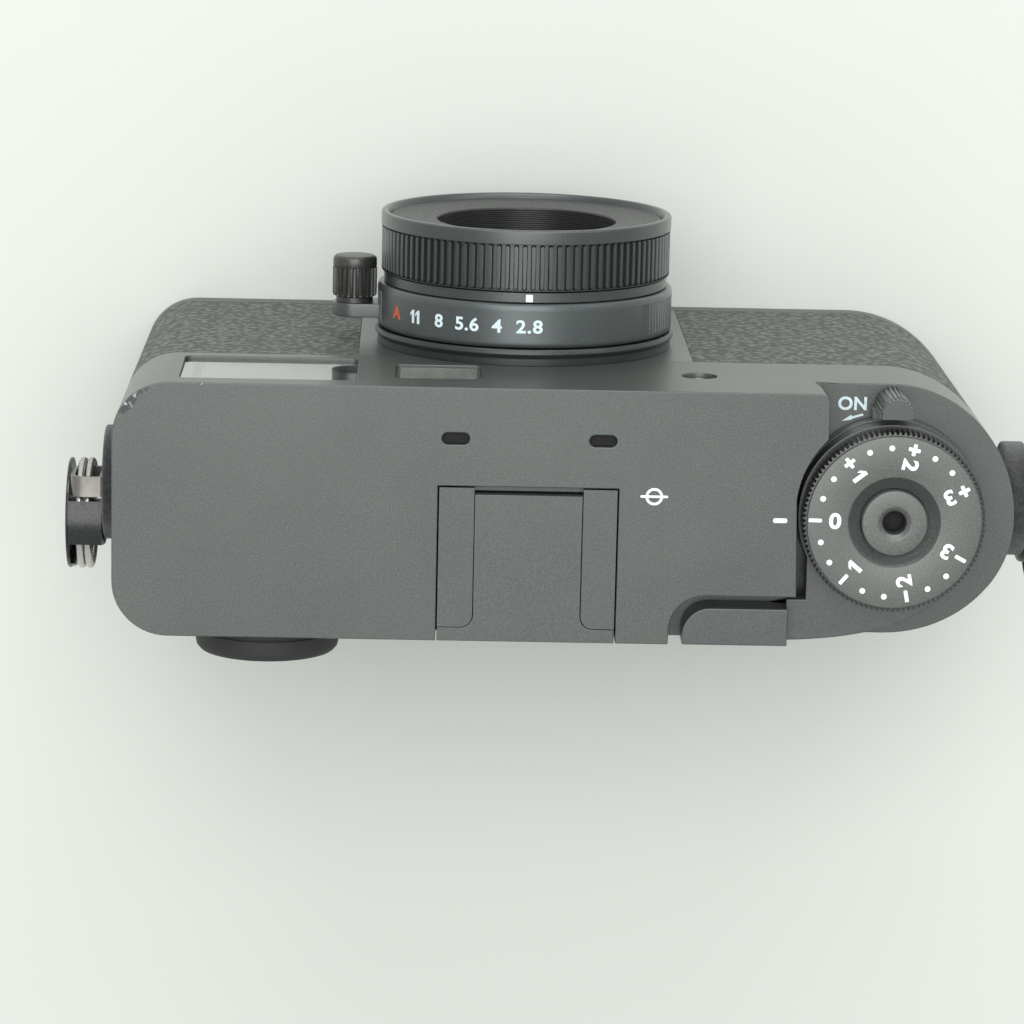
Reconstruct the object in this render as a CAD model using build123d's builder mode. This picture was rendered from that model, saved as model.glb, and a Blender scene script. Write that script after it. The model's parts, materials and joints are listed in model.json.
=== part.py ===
"""Compact half frame camera, built as an assembly of separate pieces.

Frame: origin at the tripod socket's mouth in the base plane, under the lens axis.
+Z runs up through the top plate, -Y points out of the lens, +X is the user's left.
All sizes are in millimetres.
"""
import os

from build123d import *

os.makedirs("parts", exist_ok=True)

# Body envelope
left_x = 48.05
right_x = -57.75
front_y = -15.0
rear_y = 15.0
top_z = 62.8
deck_z = 55.0
corner_r = 6.5
wall = 1.5
leather_t = 0.5
base_h = 3.0
base_floor = 1.2
front_seam_z = 42.3
rear_seam_z = 53.0
split_y = 6.0
gap = 0.3

# Dial stack on the deck
dial_x = -42.57
dial_y = -0.23
dial_r = 10.65
dial_bottom_z = 60.6
dial_top_z = 63.9
dish_r = 5.42
dish_depth = 0.9
button_r = 3.83
button_top_z = 64.3
button_bottom_z = 61.4
stem_r = 1.5
thread_r = 1.4
thread_depth = 2.7
post_r = 4.5
post_top_z = 60.2
ring_bore_r = 4.85
collar_r = 11.0
collar_low_z = 55.3
collar_high_z = 57.2
tab_half_w = 1.95
tab_inner = 11.9
tab_outer = 14.45

# Frame lever
lever_low_z = 57.5
lever_mid_z = 58.6
lever_top_z = 60.2
lever_tab_top_z = 62.7
recess_floor_z = 58.2
recess_right_x = -31.6
recess_left_x = -16.8
recess_y = 9.1
recess_corner_r = 4.2
lever_tab_corner_r = 3.3

# Accessory shoe and its cover
shoe_left_x = 10.35
shoe_right_x = -10.6
shoe_front_y = -3.4
rail_end_y = 13.3
rail_left_x = 6.13
rail_right_x = -6.53
channel_left_x = 9.2
channel_right_x = -9.46
channel_front_y = -2.6
shoe_bottom_z = 57.8
channel_floor_z = 59.0
rail_low_z = 61.1

# Lens
lens_z = 29.8
barrel_r = 15.0
barrel_bore_r = 11.6
flange_r = 18.45
flange_y = -17.0
aperture_r = 18.0
aperture_rear_y = -17.1
aperture_front_y = -22.4
index_r = 17.3
index_front_y = -23.7
focus_r = 17.6
focus_rear_y = -23.8
focus_front_y = -29.4
bezel_r = 17.7
bezel_rear_y = -29.5
bezel_front_y = -31.15
bezel_bore_r = 16.5
bezel_seat_r = 14.6
bezel_seat_y = bezel_rear_y - 0.6
name_ring_r = 16.4
name_ring_y = -30.6
mouth_r = 10.9
mouth_y = -30.05
throat_r = 10.1
throat_y = -25.6
ring_gap = 0.3
knob_x = 20.85
knob_r = 2.7
knob_top_y = -25.4
arm_rear_y = -18.0
arm_front_y = -19.7

# Windows in the front strip
finder_x = 30.3
finder_z = 51.9
finder_w = 20.6
finder_h = 14.9
flash_x = 10.5
flash_z = 52.4
flash_w = 10.0
flash_h = 9.2
lamp_x = -20.2
lamp_z = 51.9
lamp_r = 2.1
window_t = 1.2
eyepiece_r = 8.5
eyepiece_bore_r = 6.0
eyepiece_rear_y = 18.7

# Top plate details
mic_y = -9.0
mic_w = 3.2
mic_h = 1.4
mic_x = (8.4, -8.64)

# Rear face
display_low = (-20.0, 6.0)
display_high = (16.0, 51.5)
info_low = (20.0, 8.0)
info_high = (28.0, 40.0)
rear_button_x = -29.0
rear_button_z = (46.5, 38.5)
rear_button_r = 2.6

# Base
socket_r = 5.5
socket_bore_r = 3.175
socket_depth = 5.5
door_low = (-50.0, -8.0)
door_high = (-20.6, 12.0)
door_hinge_x = -20.0
door_hinge_z = 0.6
door_t = 1.0
latch_travel = 2.4
pin_r = 0.3
knuckle_r = 0.55
knuckle_bore_r = 0.35
screw_places = ((40, -9), (40, 9), (-13, -11), (-13, 11))

# Port door on the left end
port_low = (-5.8, 10.0)
port_high = (5.5, 26.0)
port_hinge_x = 47.5
port_hinge_y = -4.9

# Strap fittings
strap_z = 48.0
strap_y = -0.2
disc_r = 6.8
disc_t = 1.8
boss_r = 2.6
pad_reach = 2.6
lug_post_r = 2.0
lug_w = 2.4
lug_reach = 4.0
lug_half_h = 3.6
lug_strip = 0.5
ring_r = 6.2
wire_r = 0.47
coil_shift = 0.5
ring_offset = 5.23
ring_tilt = 57.3
ring_out = 4.2
cover_r = 6.6
cover_hub_r = 2.85
cover_hub_offset = 1.55
cover_in = 5.35
cover_out = 6.3
cover_relief_r = 4.0
cover_relief = 0.55
hood_in_r = 6.75
hood_out_r = 7.35
hood_start = 51.0
hood_end = 107.0


def block(low, high, mode=Mode.ADD):
    """Add a box between two corners to the current part."""
    size = [high[i] - low[i] for i in range(3)]
    middle = [(high[i] + low[i]) / 2 for i in range(3)]
    with Locations(tuple(middle)):
        Box(*size, mode=mode)


def rod_x(y, z, radius, low, high, mode=Mode.ADD):
    """Add a cylinder along X to the current part."""
    with Locations(Location(((low + high) / 2, y, z), (0, 90, 0))):
        Cylinder(radius, high - low, mode=mode)


def rod_y(x, z, radius, low, high, mode=Mode.ADD):
    """Add a cylinder along Y to the current part."""
    with Locations(Location((x, (low + high) / 2, z), (90, 0, 0))):
        Cylinder(radius, high - low, mode=mode)


def rod_z(x, y, radius, low, high, mode=Mode.ADD):
    """Add a cylinder along Z to the current part."""
    with Locations((x, y, (low + high) / 2)):
        Cylinder(radius, high - low, mode=mode)


def body_outline(inset=0.0):
    """Plan of the body: square left end with round corners, full round right end."""
    left = left_x - inset
    front = front_y + inset
    rear = rear_y - inset
    radius = corner_r - inset
    right = right_x + inset
    bend_x = -42.7
    tip_y = 1.2
    half_depth = bend_x - right
    with BuildSketch() as outline:
        with BuildLine():
            Line((left - radius, front), (bend_x, front))
            EllipticalCenterArc((bend_x, tip_y), half_depth, tip_y - front,
                                start_angle=180, arc_size=90)
            EllipticalCenterArc((bend_x, tip_y), half_depth, rear - tip_y,
                                start_angle=90, arc_size=90)
            Line((bend_x, rear), (left - radius, rear))
            RadiusArc((left - radius, rear), (left, rear - radius), radius)
            Line((left, rear - radius), (left, front + radius))
            RadiusArc((left, front + radius), (left - radius, front), radius)
        make_face()
    return outline.sketch


def top_outline():
    """Plan of the raised top plate, with the hollow around the dial and the lever recess."""
    front_corner = (-34.7, front_y)
    with BuildSketch() as outline:
        with BuildLine():
            Line((left_x - corner_r, front_y), (front_corner[0] + 1.2, front_y))
            RadiusArc((front_corner[0] + 1.2, front_y), (front_corner[0], front_y + 1.2), 1.2)
            Line((front_corner[0], front_y + 1.2), (-34.75, -9.65))
            ThreePointArc((-34.75, -9.65), (-32.4, -6.4), (-31.3, -2.5))
            Line((-31.3, -2.5), (recess_right_x, recess_y))
            Line((recess_right_x, recess_y), (recess_left_x - recess_corner_r, recess_y))
            RadiusArc((recess_left_x - recess_corner_r, recess_y),
                      (recess_left_x, recess_y + recess_corner_r), -recess_corner_r)
            Line((recess_left_x, recess_y + recess_corner_r), (recess_left_x, rear_y))
            Line((recess_left_x, rear_y), (left_x - corner_r, rear_y))
            RadiusArc((left_x - corner_r, rear_y), (left_x, rear_y - corner_r), corner_r)
            Line((left_x, rear_y - corner_r), (left_x, front_y + corner_r))
            RadiusArc((left_x, front_y + corner_r), (left_x - corner_r, front_y), corner_r)
        make_face()
    return outline.sketch


def prism(shape, low, high, mode=Mode.ADD):
    """Extrude a plan sketch between two heights into the current part."""
    with BuildSketch(Plane.XY.offset(low)) as plan:
        add(shape)
    extrude(plan.sketch, amount=high - low, mode=mode)


def plate_y(x, z, width, height, radius, low, high, mode=Mode.ADD):
    """Add a rounded rectangular plate, standing in the XZ plane, between two Y values."""
    with BuildSketch(Plane((x, low, z), x_dir=(1, 0, 0), z_dir=(0, 1, 0))) as face:
        RectangleRounded(width, height, radius)
    extrude(face.sketch, amount=high - low, mode=mode)


def lens_turning(*points):
    """Add a ring turned about the lens axis from (radius, Y) points to the current part."""
    with BuildSketch(Plane((0, 0, lens_z))) as profile:
        with BuildLine():
            Polyline(*points, close=True)
        make_face()
    revolve(profile.sketch, axis=Axis((0, 0, lens_z), (0, 1, 0)))


def save(name, part):
    """Label a finished piece and write it to its own file."""
    part.label = name
    export_step(part, f"parts/{name}.step")


# ---------------------------------------------------------------- covers
with BuildPart() as top_cover:
    prism(body_outline(), front_seam_z, deck_z)
    prism(top_outline(), deck_z, top_z)
    prism(body_outline(wall), front_seam_z, deck_z - wall, mode=Mode.SUBTRACT)
    with BuildPart(mode=Mode.PRIVATE) as upper_cavity:
        prism(body_outline(wall), deck_z - wall, top_z - wall)
        block((right_x, front_y, deck_z - wall), (-29.9, rear_y, top_z), mode=Mode.SUBTRACT)
        block((-29.9, recess_y - wall, deck_z), (recess_left_x + wall, rear_y, top_z),
              mode=Mode.SUBTRACT)
    add(upper_cavity.part, mode=Mode.SUBTRACT)
    block((recess_right_x, recess_y, deck_z), (recess_left_x, rear_y, recess_floor_z))
    block((right_x, split_y, front_seam_z), (left_x, rear_y, rear_seam_z), mode=Mode.SUBTRACT)
    block((shoe_right_x, shoe_front_y, shoe_bottom_z), (shoe_left_x, rear_y, top_z),
          mode=Mode.SUBTRACT)
    plate_y(finder_x, finder_z, finder_w, finder_h, 0.8, front_y, front_y + wall,
            mode=Mode.SUBTRACT)
    plate_y(flash_x, flash_z, flash_w, flash_h, 0.6, front_y, front_y + wall, mode=Mode.SUBTRACT)
    rod_y(lamp_x, lamp_z, lamp_r, front_y, front_y + wall, mode=Mode.SUBTRACT)
    rod_y(0, lens_z, barrel_r, front_y, 0, mode=Mode.SUBTRACT)
    rod_x(strap_y, strap_z, boss_r, right_x, right_x + pad_reach)
    rod_x(strap_y, strap_z, lug_post_r, right_x, right_x + pad_reach, mode=Mode.SUBTRACT)
    rod_x(strap_y, strap_z, lug_post_r, left_x - wall, left_x, mode=Mode.SUBTRACT)
    rod_y(finder_x, finder_z, eyepiece_bore_r + 1.2, rear_y - wall, rear_y, mode=Mode.SUBTRACT)
    rod_z(dial_x, dial_y, stem_r + 0.4, deck_z - wall, deck_z, mode=Mode.SUBTRACT)
    with BuildSketch(Plane.XY.offset(top_z - wall)) as mic_slots:
        for x in mic_x:
            with Locations((x, mic_y)):
                SlotOverall(mic_w, mic_h)
    extrude(mic_slots.sketch, amount=wall, mode=Mode.SUBTRACT)
save("top_cover", top_cover.part)

with BuildPart() as front_shell:
    prism(body_outline(leather_t), base_h, front_seam_z)
    prism(body_outline(leather_t + wall), base_h, front_seam_z, mode=Mode.SUBTRACT)
    block((right_x, split_y, base_h), (left_x, rear_y, front_seam_z), mode=Mode.SUBTRACT)
    rod_y(0, lens_z, barrel_r, front_y, 0, mode=Mode.SUBTRACT)
    block((left_x - 3.0, port_low[0], port_low[1]), (left_x, port_high[0], port_high[1]),
          mode=Mode.SUBTRACT)
    rod_z(port_hinge_x, port_hinge_y, pin_r, port_low[1] - 0.8, port_high[1] + 0.8,
          mode=Mode.SUBTRACT)
save("front_shell", front_shell.part)

panel_half_w = 20.1
for name, low_x, high_x in (("leather_left", panel_half_w, left_x),
                            ("leather_right", right_x, -panel_half_w)):
    with BuildPart() as leather:
        prism(body_outline(), base_h, front_seam_z)
        prism(body_outline(leather_t), base_h, front_seam_z, mode=Mode.SUBTRACT)
        block((low_x, front_y, base_h), (high_x, split_y, front_seam_z), mode=Mode.INTERSECT)
        block((left_x - 3.0, port_low[0], port_low[1]), (left_x, port_high[0], port_high[1]),
              mode=Mode.SUBTRACT)
        rod_z(port_hinge_x, port_hinge_y, pin_r, port_low[1] - 0.8, port_high[1] + 0.8,
              mode=Mode.SUBTRACT)
    save(name, leather.part)

with BuildPart() as front_panel:
    block((-panel_half_w, front_y, base_h), (panel_half_w, front_y + leather_t, front_seam_z))
    rod_y(0, lens_z, barrel_r, front_y, 0, mode=Mode.SUBTRACT)
save("front_panel", front_panel.part)

with BuildPart() as rear_cover:
    prism(body_outline(), base_h, rear_seam_z)
    prism(body_outline(wall), base_h, rear_seam_z, mode=Mode.SUBTRACT)
    block((right_x, front_y, base_h), (left_x, split_y, rear_seam_z), mode=Mode.SUBTRACT)
    block((display_low[0], rear_y - wall, display_low[1]), (display_high[0], rear_y, display_high[1]),
          mode=Mode.SUBTRACT)
    block((info_low[0], rear_y - wall, info_low[1]), (info_high[0], rear_y, info_high[1]),
          mode=Mode.SUBTRACT)
    rod_y(finder_x, finder_z, eyepiece_bore_r + 1.2, rear_y - wall, rear_y, mode=Mode.SUBTRACT)
    for z in rear_button_z:
        rod_y(rear_button_x, z, rear_button_r + gap, rear_y - wall, rear_y, mode=Mode.SUBTRACT)
save("rear_cover", rear_cover.part)

with BuildPart() as bottom_cover:
    prism(body_outline(), 0, base_h)
    prism(body_outline(wall), base_floor, base_h, mode=Mode.SUBTRACT)
    rod_z(0, 0, socket_r, 0, base_floor, mode=Mode.SUBTRACT)
    block((door_low[0] - gap, door_low[1] - gap, 0), (door_hinge_x + 1.0, door_high[1] + gap, base_h),
          mode=Mode.SUBTRACT)
    rod_y(door_hinge_x, door_hinge_z, pin_r, door_low[1] - 0.9, door_high[1] + 0.9,
          mode=Mode.SUBTRACT)
    for x, y in screw_places:
        rod_z(x, y, 1.3, 0, 0.8, mode=Mode.SUBTRACT)
        rod_z(x, y, 0.7, 0, base_floor, mode=Mode.SUBTRACT)
save("bottom_cover", bottom_cover.part)

with BuildPart() as base_screws:
    for x, y in screw_places:
        rod_z(x, y, 1.25, 0.15, 0.8)
        rod_z(x, y, 0.65, 0.8, 4.2)
        rod_z(x, y, 0.4, 0.15, 0.5, mode=Mode.SUBTRACT)
save("base_screws", base_screws.part)

with BuildPart() as thumb_grip:
    plate_y(-33.0, 19.5, 15.0, 24.0, 2.5, rear_y, rear_y + 0.6)
save("thumb_grip", thumb_grip.part)

# ---------------------------------------------------------------- chassis and inner pieces
with BuildPart() as chassis_plate:
    block((-16.0, 5.0, 4.0), (44.0, 6.2, 42.0))
    rod_z(0, 0, socket_r, 4.0, 8.0, mode=Mode.SUBTRACT)
    block((-16.0, -6.0, 3.0), (16.0, 6.2, 4.0))
    rod_z(0, 0, socket_r, 3.0, 4.0, mode=Mode.SUBTRACT)
save("chassis_plate", chassis_plate.part)

with BuildPart() as tripod_socket:
    rod_z(0, 0, socket_r, 0, socket_depth + 1.5)
    rod_z(0, 0, socket_bore_r, 0, socket_depth, mode=Mode.SUBTRACT)
save("tripod_socket", tripod_socket.part)

with BuildPart() as main_board:
    block((-15.0, 8.0, 5.0), (44.0, 9.2, 41.0))
    block((-8.0, 9.2, 14.0), (4.0, 10.4, 26.0))
    block((8.0, 9.2, 18.0), (17.0, 10.2, 28.0))
    block((24.0, 9.2, 10.0), (32.0, 10.2, 16.0))
save("main_board", main_board.part)

with BuildPart() as sensor_board:
    block((-13.0, 2.6, 16.0), (13.0, 3.8, 42.0))
save("sensor_board", sensor_board.part)

with BuildPart() as image_sensor:
    block((-6.0, 0.8, lens_z - 8.5), (6.0, 2.6, lens_z + 8.5))
    block((-4.4, 0.8, lens_z - 6.6), (4.4, 1.1, lens_z + 6.6), mode=Mode.SUBTRACT)
save("image_sensor", image_sensor.part)

with BuildPart() as battery:
    block((-49.5, -6.5, 2.2), (-19.5, 6.5, 43.0))
    fillet(battery.edges().filter_by(Axis.Z), 1.5)
save("battery", battery.part)

with BuildPart() as memory_card:
    block((-46.0, 8.6, 2.4), (-22.0, 10.7, 34.4))
save("memory_card", memory_card.part)

with BuildPart() as display_panel:
    block((-18.5, 12.0, 7.5), (14.5, 13.5, 50.0))
save("display_panel", display_panel.part)

with BuildPart() as display_glass:
    block((display_low[0], rear_y - wall, display_low[1]), (display_high[0], rear_y - 0.1, display_high[1]))
save("display_glass", display_glass.part)

with BuildPart() as info_display_glass:
    block((info_low[0], rear_y - wall, info_low[1]), (info_high[0], rear_y - 0.1, info_high[1]))
save("info_display_glass", info_display_glass.part)

with BuildPart() as usb_connector:
    block((39.5, -4.5, 14.0), (46.2, 3.5, 17.4))
    block((40.5, -3.9, 14.6), (46.2, 2.9, 16.8), mode=Mode.SUBTRACT)
save("usb_connector", usb_connector.part)

with BuildPart() as microphones:
    for x in mic_x:
        rod_z(x, mic_y, 2.4, top_z - wall - 2.0, top_z - wall)
save("microphones", microphones.part)

# ---------------------------------------------------------------- viewfinder, flash and lamp
with BuildPart() as finder_window:
    plate_y(finder_x, finder_z, finder_w, finder_h, 0.8, front_y + 0.15, front_y + wall)
save("finder_window", finder_window.part)

with BuildPart() as finder_tunnel:
    block((finder_x - 9.0, front_y + wall, finder_z - 8.4), (finder_x + 9.0, rear_y - wall, finder_z + 8.4))
    block((finder_x - 8.0, front_y + wall, finder_z - 7.4), (finder_x + 8.0, rear_y - wall, finder_z + 7.4),
          mode=Mode.SUBTRACT)
save("finder_tunnel", finder_tunnel.part)

with BuildPart() as finder_lens:
    with BuildSketch(Plane((finder_x, 2.0, finder_z), x_dir=(1, 0, 0), z_dir=(0, 1, 0))):
        Rectangle(16.0, 14.8)
    extrude(amount=3.0)
    rod_y(finder_x, finder_z, 6.5, 4.2, 5.0, mode=Mode.SUBTRACT)
save("finder_lens", finder_lens.part)

with BuildPart() as eyepiece_ring:
    rod_y(finder_x, finder_z, eyepiece_r, rear_y, eyepiece_rear_y)
    fillet(eyepiece_ring.edges().group_by(Axis.Y)[-1], 0.9)
    rod_y(finder_x, finder_z, eyepiece_bore_r + 1.2, rear_y - wall, rear_y)
    rod_y(finder_x, finder_z, eyepiece_bore_r, rear_y - wall, eyepiece_rear_y, mode=Mode.SUBTRACT)
save("eyepiece_ring", eyepiece_ring.part)

with BuildPart() as eyepiece_lens:
    rod_y(finder_x, finder_z, eyepiece_bore_r, rear_y + 0.4, rear_y + 2.2)
save("eyepiece_lens", eyepiece_lens.part)

with BuildPart() as flash_window:
    plate_y(flash_x, flash_z, flash_w, flash_h, 0.6, front_y + 0.15, front_y + wall)
save("flash_window", flash_window.part)

with BuildPart() as flash_module:
    block((flash_x - 4.5, front_y + wall, flash_z - 4.2), (flash_x + 4.5, -10.0, flash_z + 4.2))
    block((flash_x - 3.8, front_y + wall, flash_z - 3.6), (flash_x + 3.8, -11.0, flash_z + 3.6),
          mode=Mode.SUBTRACT)
    rod_y(flash_x, flash_z, 1.3, -11.9, -11.0)
save("flash_module", flash_module.part)

with BuildPart() as focus_lamp:
    rod_y(lamp_x, lamp_z, lamp_r, front_y + 0.2, front_y + wall)
    rod_y(lamp_x, lamp_z, lamp_r - 0.4, front_y + wall, front_y + wall + 3.0)
save("focus_lamp", focus_lamp.part)

# ---------------------------------------------------------------- lens
with BuildPart() as lens_flange:
    lens_turning((barrel_r, front_y), (flange_r, front_y), (flange_r - 0.2, front_y - 0.5),
                 (flange_r - 0.9, flange_y), (barrel_r, flange_y))
save("lens_flange", lens_flange.part)

with BuildPart() as lens_barrel:
    rod_y(0, lens_z, barrel_r, bezel_rear_y, -6.0)
    rod_y(0, lens_z, barrel_bore_r, bezel_rear_y, -8.0, mode=Mode.SUBTRACT)
    rod_y(0, lens_z, 7.0, -8.0, -6.0, mode=Mode.SUBTRACT)
save("lens_barrel", lens_barrel.part)

with BuildPart() as aperture_ring:
    rod_y(0, lens_z, aperture_r, aperture_front_y, aperture_rear_y)
    fillet(aperture_ring.edges().group_by(Axis.Y)[0], 0.35)
    rod_y(0, lens_z, barrel_r + ring_gap, aperture_front_y, aperture_rear_y, mode=Mode.SUBTRACT)
    with BuildSketch(Plane((0, arm_front_y, lens_z), x_dir=(1, 0, 0), z_dir=(0, 1, 0))):
        with Locations((knob_x, 0)):
            Circle(knob_r)
        with Locations(((knob_x + aperture_r - 1.0) / 2, 0)):
            Rectangle(knob_x - aperture_r + 1.0, 2 * knob_r)
    extrude(amount=arm_rear_y - arm_front_y)
save("aperture_ring", aperture_ring.part)

with BuildPart() as aperture_knob:
    rod_y(knob_x, lens_z, knob_r, knob_top_y, arm_front_y - 0.6)
    fillet(aperture_knob.edges().group_by(Axis.Y)[0], 0.5)
    rod_y(knob_x, lens_z, knob_r - 0.5, arm_front_y - 0.6, arm_front_y)
save("aperture_knob", aperture_knob.part)

with BuildPart() as index_ring:
    rod_y(0, lens_z, index_r, index_front_y, aperture_front_y - 0.1)
    rod_y(0, lens_z, barrel_r, index_front_y, aperture_front_y - 0.1, mode=Mode.SUBTRACT)
save("index_ring", index_ring.part)

with BuildPart() as focus_ring:
    rod_y(0, lens_z, focus_r, focus_front_y, focus_rear_y)
    chamfer(focus_ring.edges().group_by(Axis.Y)[0], 0.3)
    rod_y(0, lens_z, barrel_r + ring_gap, focus_front_y, focus_rear_y, mode=Mode.SUBTRACT)
save("focus_ring", focus_ring.part)

with BuildPart() as lens_bezel:
    rod_y(0, lens_z, bezel_r, bezel_front_y, bezel_rear_y)
    chamfer(lens_bezel.edges().group_by(Axis.Y)[0], 0.35)
    rod_y(0, lens_z, bezel_bore_r, bezel_front_y, bezel_rear_y, mode=Mode.SUBTRACT)
    rod_y(0, lens_z, bezel_bore_r, bezel_seat_y, bezel_rear_y)
    rod_y(0, lens_z, bezel_seat_r, bezel_seat_y, bezel_rear_y, mode=Mode.SUBTRACT)
save("lens_bezel", lens_bezel.part)

with BuildPart() as name_ring:
    lens_turning((name_ring_r, name_ring_y), (name_ring_r, bezel_seat_y),
                 (bezel_seat_r, bezel_seat_y), (bezel_seat_r, bezel_rear_y),
                 (barrel_bore_r, bezel_rear_y), (barrel_bore_r, throat_y), (throat_r, throat_y),
                 (mouth_r, mouth_y))
save("name_ring", name_ring.part)

with BuildPart() as front_lens:
    rod_y(0, lens_z, barrel_bore_r, -25.4, -22.0)
    rod_y(0, lens_z, 9.6, -26.1, -25.4)
    fillet(front_lens.edges().group_by(Axis.Y)[0], 0.5)
save("front_lens", front_lens.part)

with BuildPart() as iris_unit:
    rod_y(0, lens_z, barrel_bore_r, -22.0, -14.5)
    rod_y(0, lens_z, 3.4, -22.0, -14.5, mode=Mode.SUBTRACT)
    rod_y(0, lens_z, 8.0, -22.0, -16.2, mode=Mode.SUBTRACT)
save("iris_unit", iris_unit.part)

with BuildPart() as rear_lens_group:
    rod_y(0, lens_z, barrel_bore_r, -14.5, -8.0)
    rod_y(0, lens_z, 6.8, -8.0, -4.8)
save("rear_lens_group", rear_lens_group.part)

# ---------------------------------------------------------------- accessory shoe
with BuildPart() as accessory_shoe:
    block((shoe_right_x, shoe_front_y, shoe_bottom_z), (shoe_left_x, rear_y, channel_floor_z))
    block((shoe_right_x, shoe_front_y, channel_floor_z), (shoe_left_x, rail_end_y, top_z))
    block((channel_right_x, channel_front_y, channel_floor_z), (channel_left_x, rail_end_y, rail_low_z),
          mode=Mode.SUBTRACT)
    block((rail_right_x, channel_front_y, channel_floor_z), (rail_left_x, rail_end_y, top_z),
          mode=Mode.SUBTRACT)
save("accessory_shoe", accessory_shoe.part)

slide_gap = 0.15
with BuildPart() as shoe_cover:
    cover_top_z = top_z - 0.1
    block((channel_right_x + slide_gap, channel_front_y + slide_gap, channel_floor_z + slide_gap),
          (channel_left_x - slide_gap, rear_y, rail_low_z - slide_gap))
    block((rail_right_x + slide_gap, channel_front_y + slide_gap, rail_low_z - slide_gap),
          (rail_left_x - slide_gap, rear_y, cover_top_z))
    block((shoe_right_x + slide_gap, rail_end_y + slide_gap, channel_floor_z + slide_gap),
          (shoe_left_x - slide_gap, rear_y, cover_top_z))
save("shoe_cover", shoe_cover.part)

# ---------------------------------------------------------------- dial stack
with BuildPart() as dial_post:
    rod_z(dial_x, dial_y, post_r, deck_z, post_top_z)
    rod_z(dial_x, dial_y, stem_r + 0.4, deck_z, post_top_z, mode=Mode.SUBTRACT)
    rod_z(dial_x, dial_y, 3.3, 57.0, post_top_z, mode=Mode.SUBTRACT)
save("dial_post", dial_post.part)

with BuildPart() as power_lever:
    rod_z(dial_x, dial_y, collar_r, collar_low_z, collar_high_z)
    with BuildSketch(Plane.XY.offset(collar_low_z)):
        with Locations((dial_x, dial_y - tab_inner + 1.0)):
            Rectangle(2 * tab_half_w + 0.8, 3.0)
        with Locations((dial_x, dial_y - tab_outer + tab_half_w)):
            Circle(tab_half_w)
    extrude(amount=collar_high_z - collar_low_z)
    with BuildSketch(Plane.XY.offset(collar_high_z)):
        with Locations((dial_x, dial_y - tab_outer + tab_half_w)):
            Circle(tab_half_w)
        with Locations((dial_x, dial_y - tab_inner - 0.3)):
            Rectangle(2 * tab_half_w, 0.6)
    extrude(amount=top_z - collar_high_z)
    rod_z(dial_x, dial_y, ring_bore_r, collar_low_z, collar_high_z, mode=Mode.SUBTRACT)
    block((dial_x - 3, dial_y - tab_inner, collar_high_z), (dial_x + 3, dial_y - 9.0, top_z),
          mode=Mode.SUBTRACT)
save("power_lever", power_lever.part)

with BuildPart() as frame_lever:
    step_x = -32.9
    step_y = 9.9
    tab_right_x = -30.7
    tab_left_x = -18.4
    tab_front_y = 10.6
    with BuildSketch(Plane.XY.offset(lever_mid_z)):
        with BuildLine():
            Line((dial_x, dial_y), (step_x, 2.0))
            Line((step_x, 2.0), (step_x, step_y))
            Line((step_x, step_y), (tab_right_x, step_y))
            Line((tab_right_x, step_y), (tab_right_x, 14.85))
            Spline((tab_right_x, 14.85), (-36.8, 14.35), (-40.9, 13.55), (-45.75, 11.7),
                   (-49.1, 9.2), (-51.2, 6.7))
            Line((-51.2, 6.7), (dial_x, dial_y))
        make_face()
        with Locations((dial_x, dial_y)):
            Circle(10.9)
    extrude(amount=lever_top_z - lever_mid_z)
    with BuildSketch(Plane.XY.offset(lever_low_z)):
        with Locations((dial_x, dial_y)):
            Circle(10.9)
        with BuildLine():
            Line((dial_x, dial_y), (step_x, 2.0))
            Line((step_x, 2.0), (step_x, 14.65))
            Spline((step_x, 14.65), (-36.8, 14.25), (-40.9, 13.45), (-45.75, 11.6),
                   (-49.1, 9.1), (-51.1, 6.6))
            Line((-51.1, 6.6), (dial_x, dial_y))
        make_face()
    extrude(amount=lever_mid_z - lever_low_z)
    with BuildSketch(Plane.XY.offset(lever_mid_z)):
        with BuildLine():
            Line((tab_right_x, 15.0), (tab_right_x, tab_front_y))
            Line((tab_right_x, tab_front_y), (tab_left_x - lever_tab_corner_r, tab_front_y))
            RadiusArc((tab_left_x - lever_tab_corner_r, tab_front_y),
                      (tab_left_x, tab_front_y + lever_tab_corner_r), -lever_tab_corner_r)
            Line((tab_left_x, tab_front_y + lever_tab_corner_r), (tab_left_x, 15.0))
            Line((tab_left_x, 15.0), (tab_right_x, 15.0))
        make_face()
    extrude(amount=lever_tab_top_z - lever_mid_z)
    rod_z(dial_x, dial_y, ring_bore_r, lever_low_z, lever_top_z, mode=Mode.SUBTRACT)
save("frame_lever", frame_lever.part)

with BuildPart() as exposure_dial:
    rod_z(dial_x, dial_y, dial_r, dial_bottom_z, dial_top_z)
    chamfer(exposure_dial.edges().group_by(Axis.Z)[-1], 0.25)
    rod_z(dial_x, dial_y, dish_r, dial_top_z - dish_depth, dial_top_z, mode=Mode.SUBTRACT)
    rod_z(dial_x, dial_y, button_r + gap, dial_bottom_z, dial_top_z, mode=Mode.SUBTRACT)
save("exposure_dial", exposure_dial.part)

with BuildPart() as shutter_button:
    rod_z(dial_x, dial_y, button_r, button_bottom_z, button_top_z)
    fillet(shutter_button.edges().group_by(Axis.Z)[-1], 0.3)
    rod_z(dial_x, dial_y, thread_r, button_top_z - thread_depth, button_top_z, mode=Mode.SUBTRACT)
    chamfer(shutter_button.edges().filter_by(GeomType.CIRCLE).group_by(Axis.Z)[-1].sort_by(SortBy.RADIUS)[0], 0.4)
    rod_z(dial_x, dial_y, stem_r, 55.6, button_bottom_z)
save("shutter_button", shutter_button.part)

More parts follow.
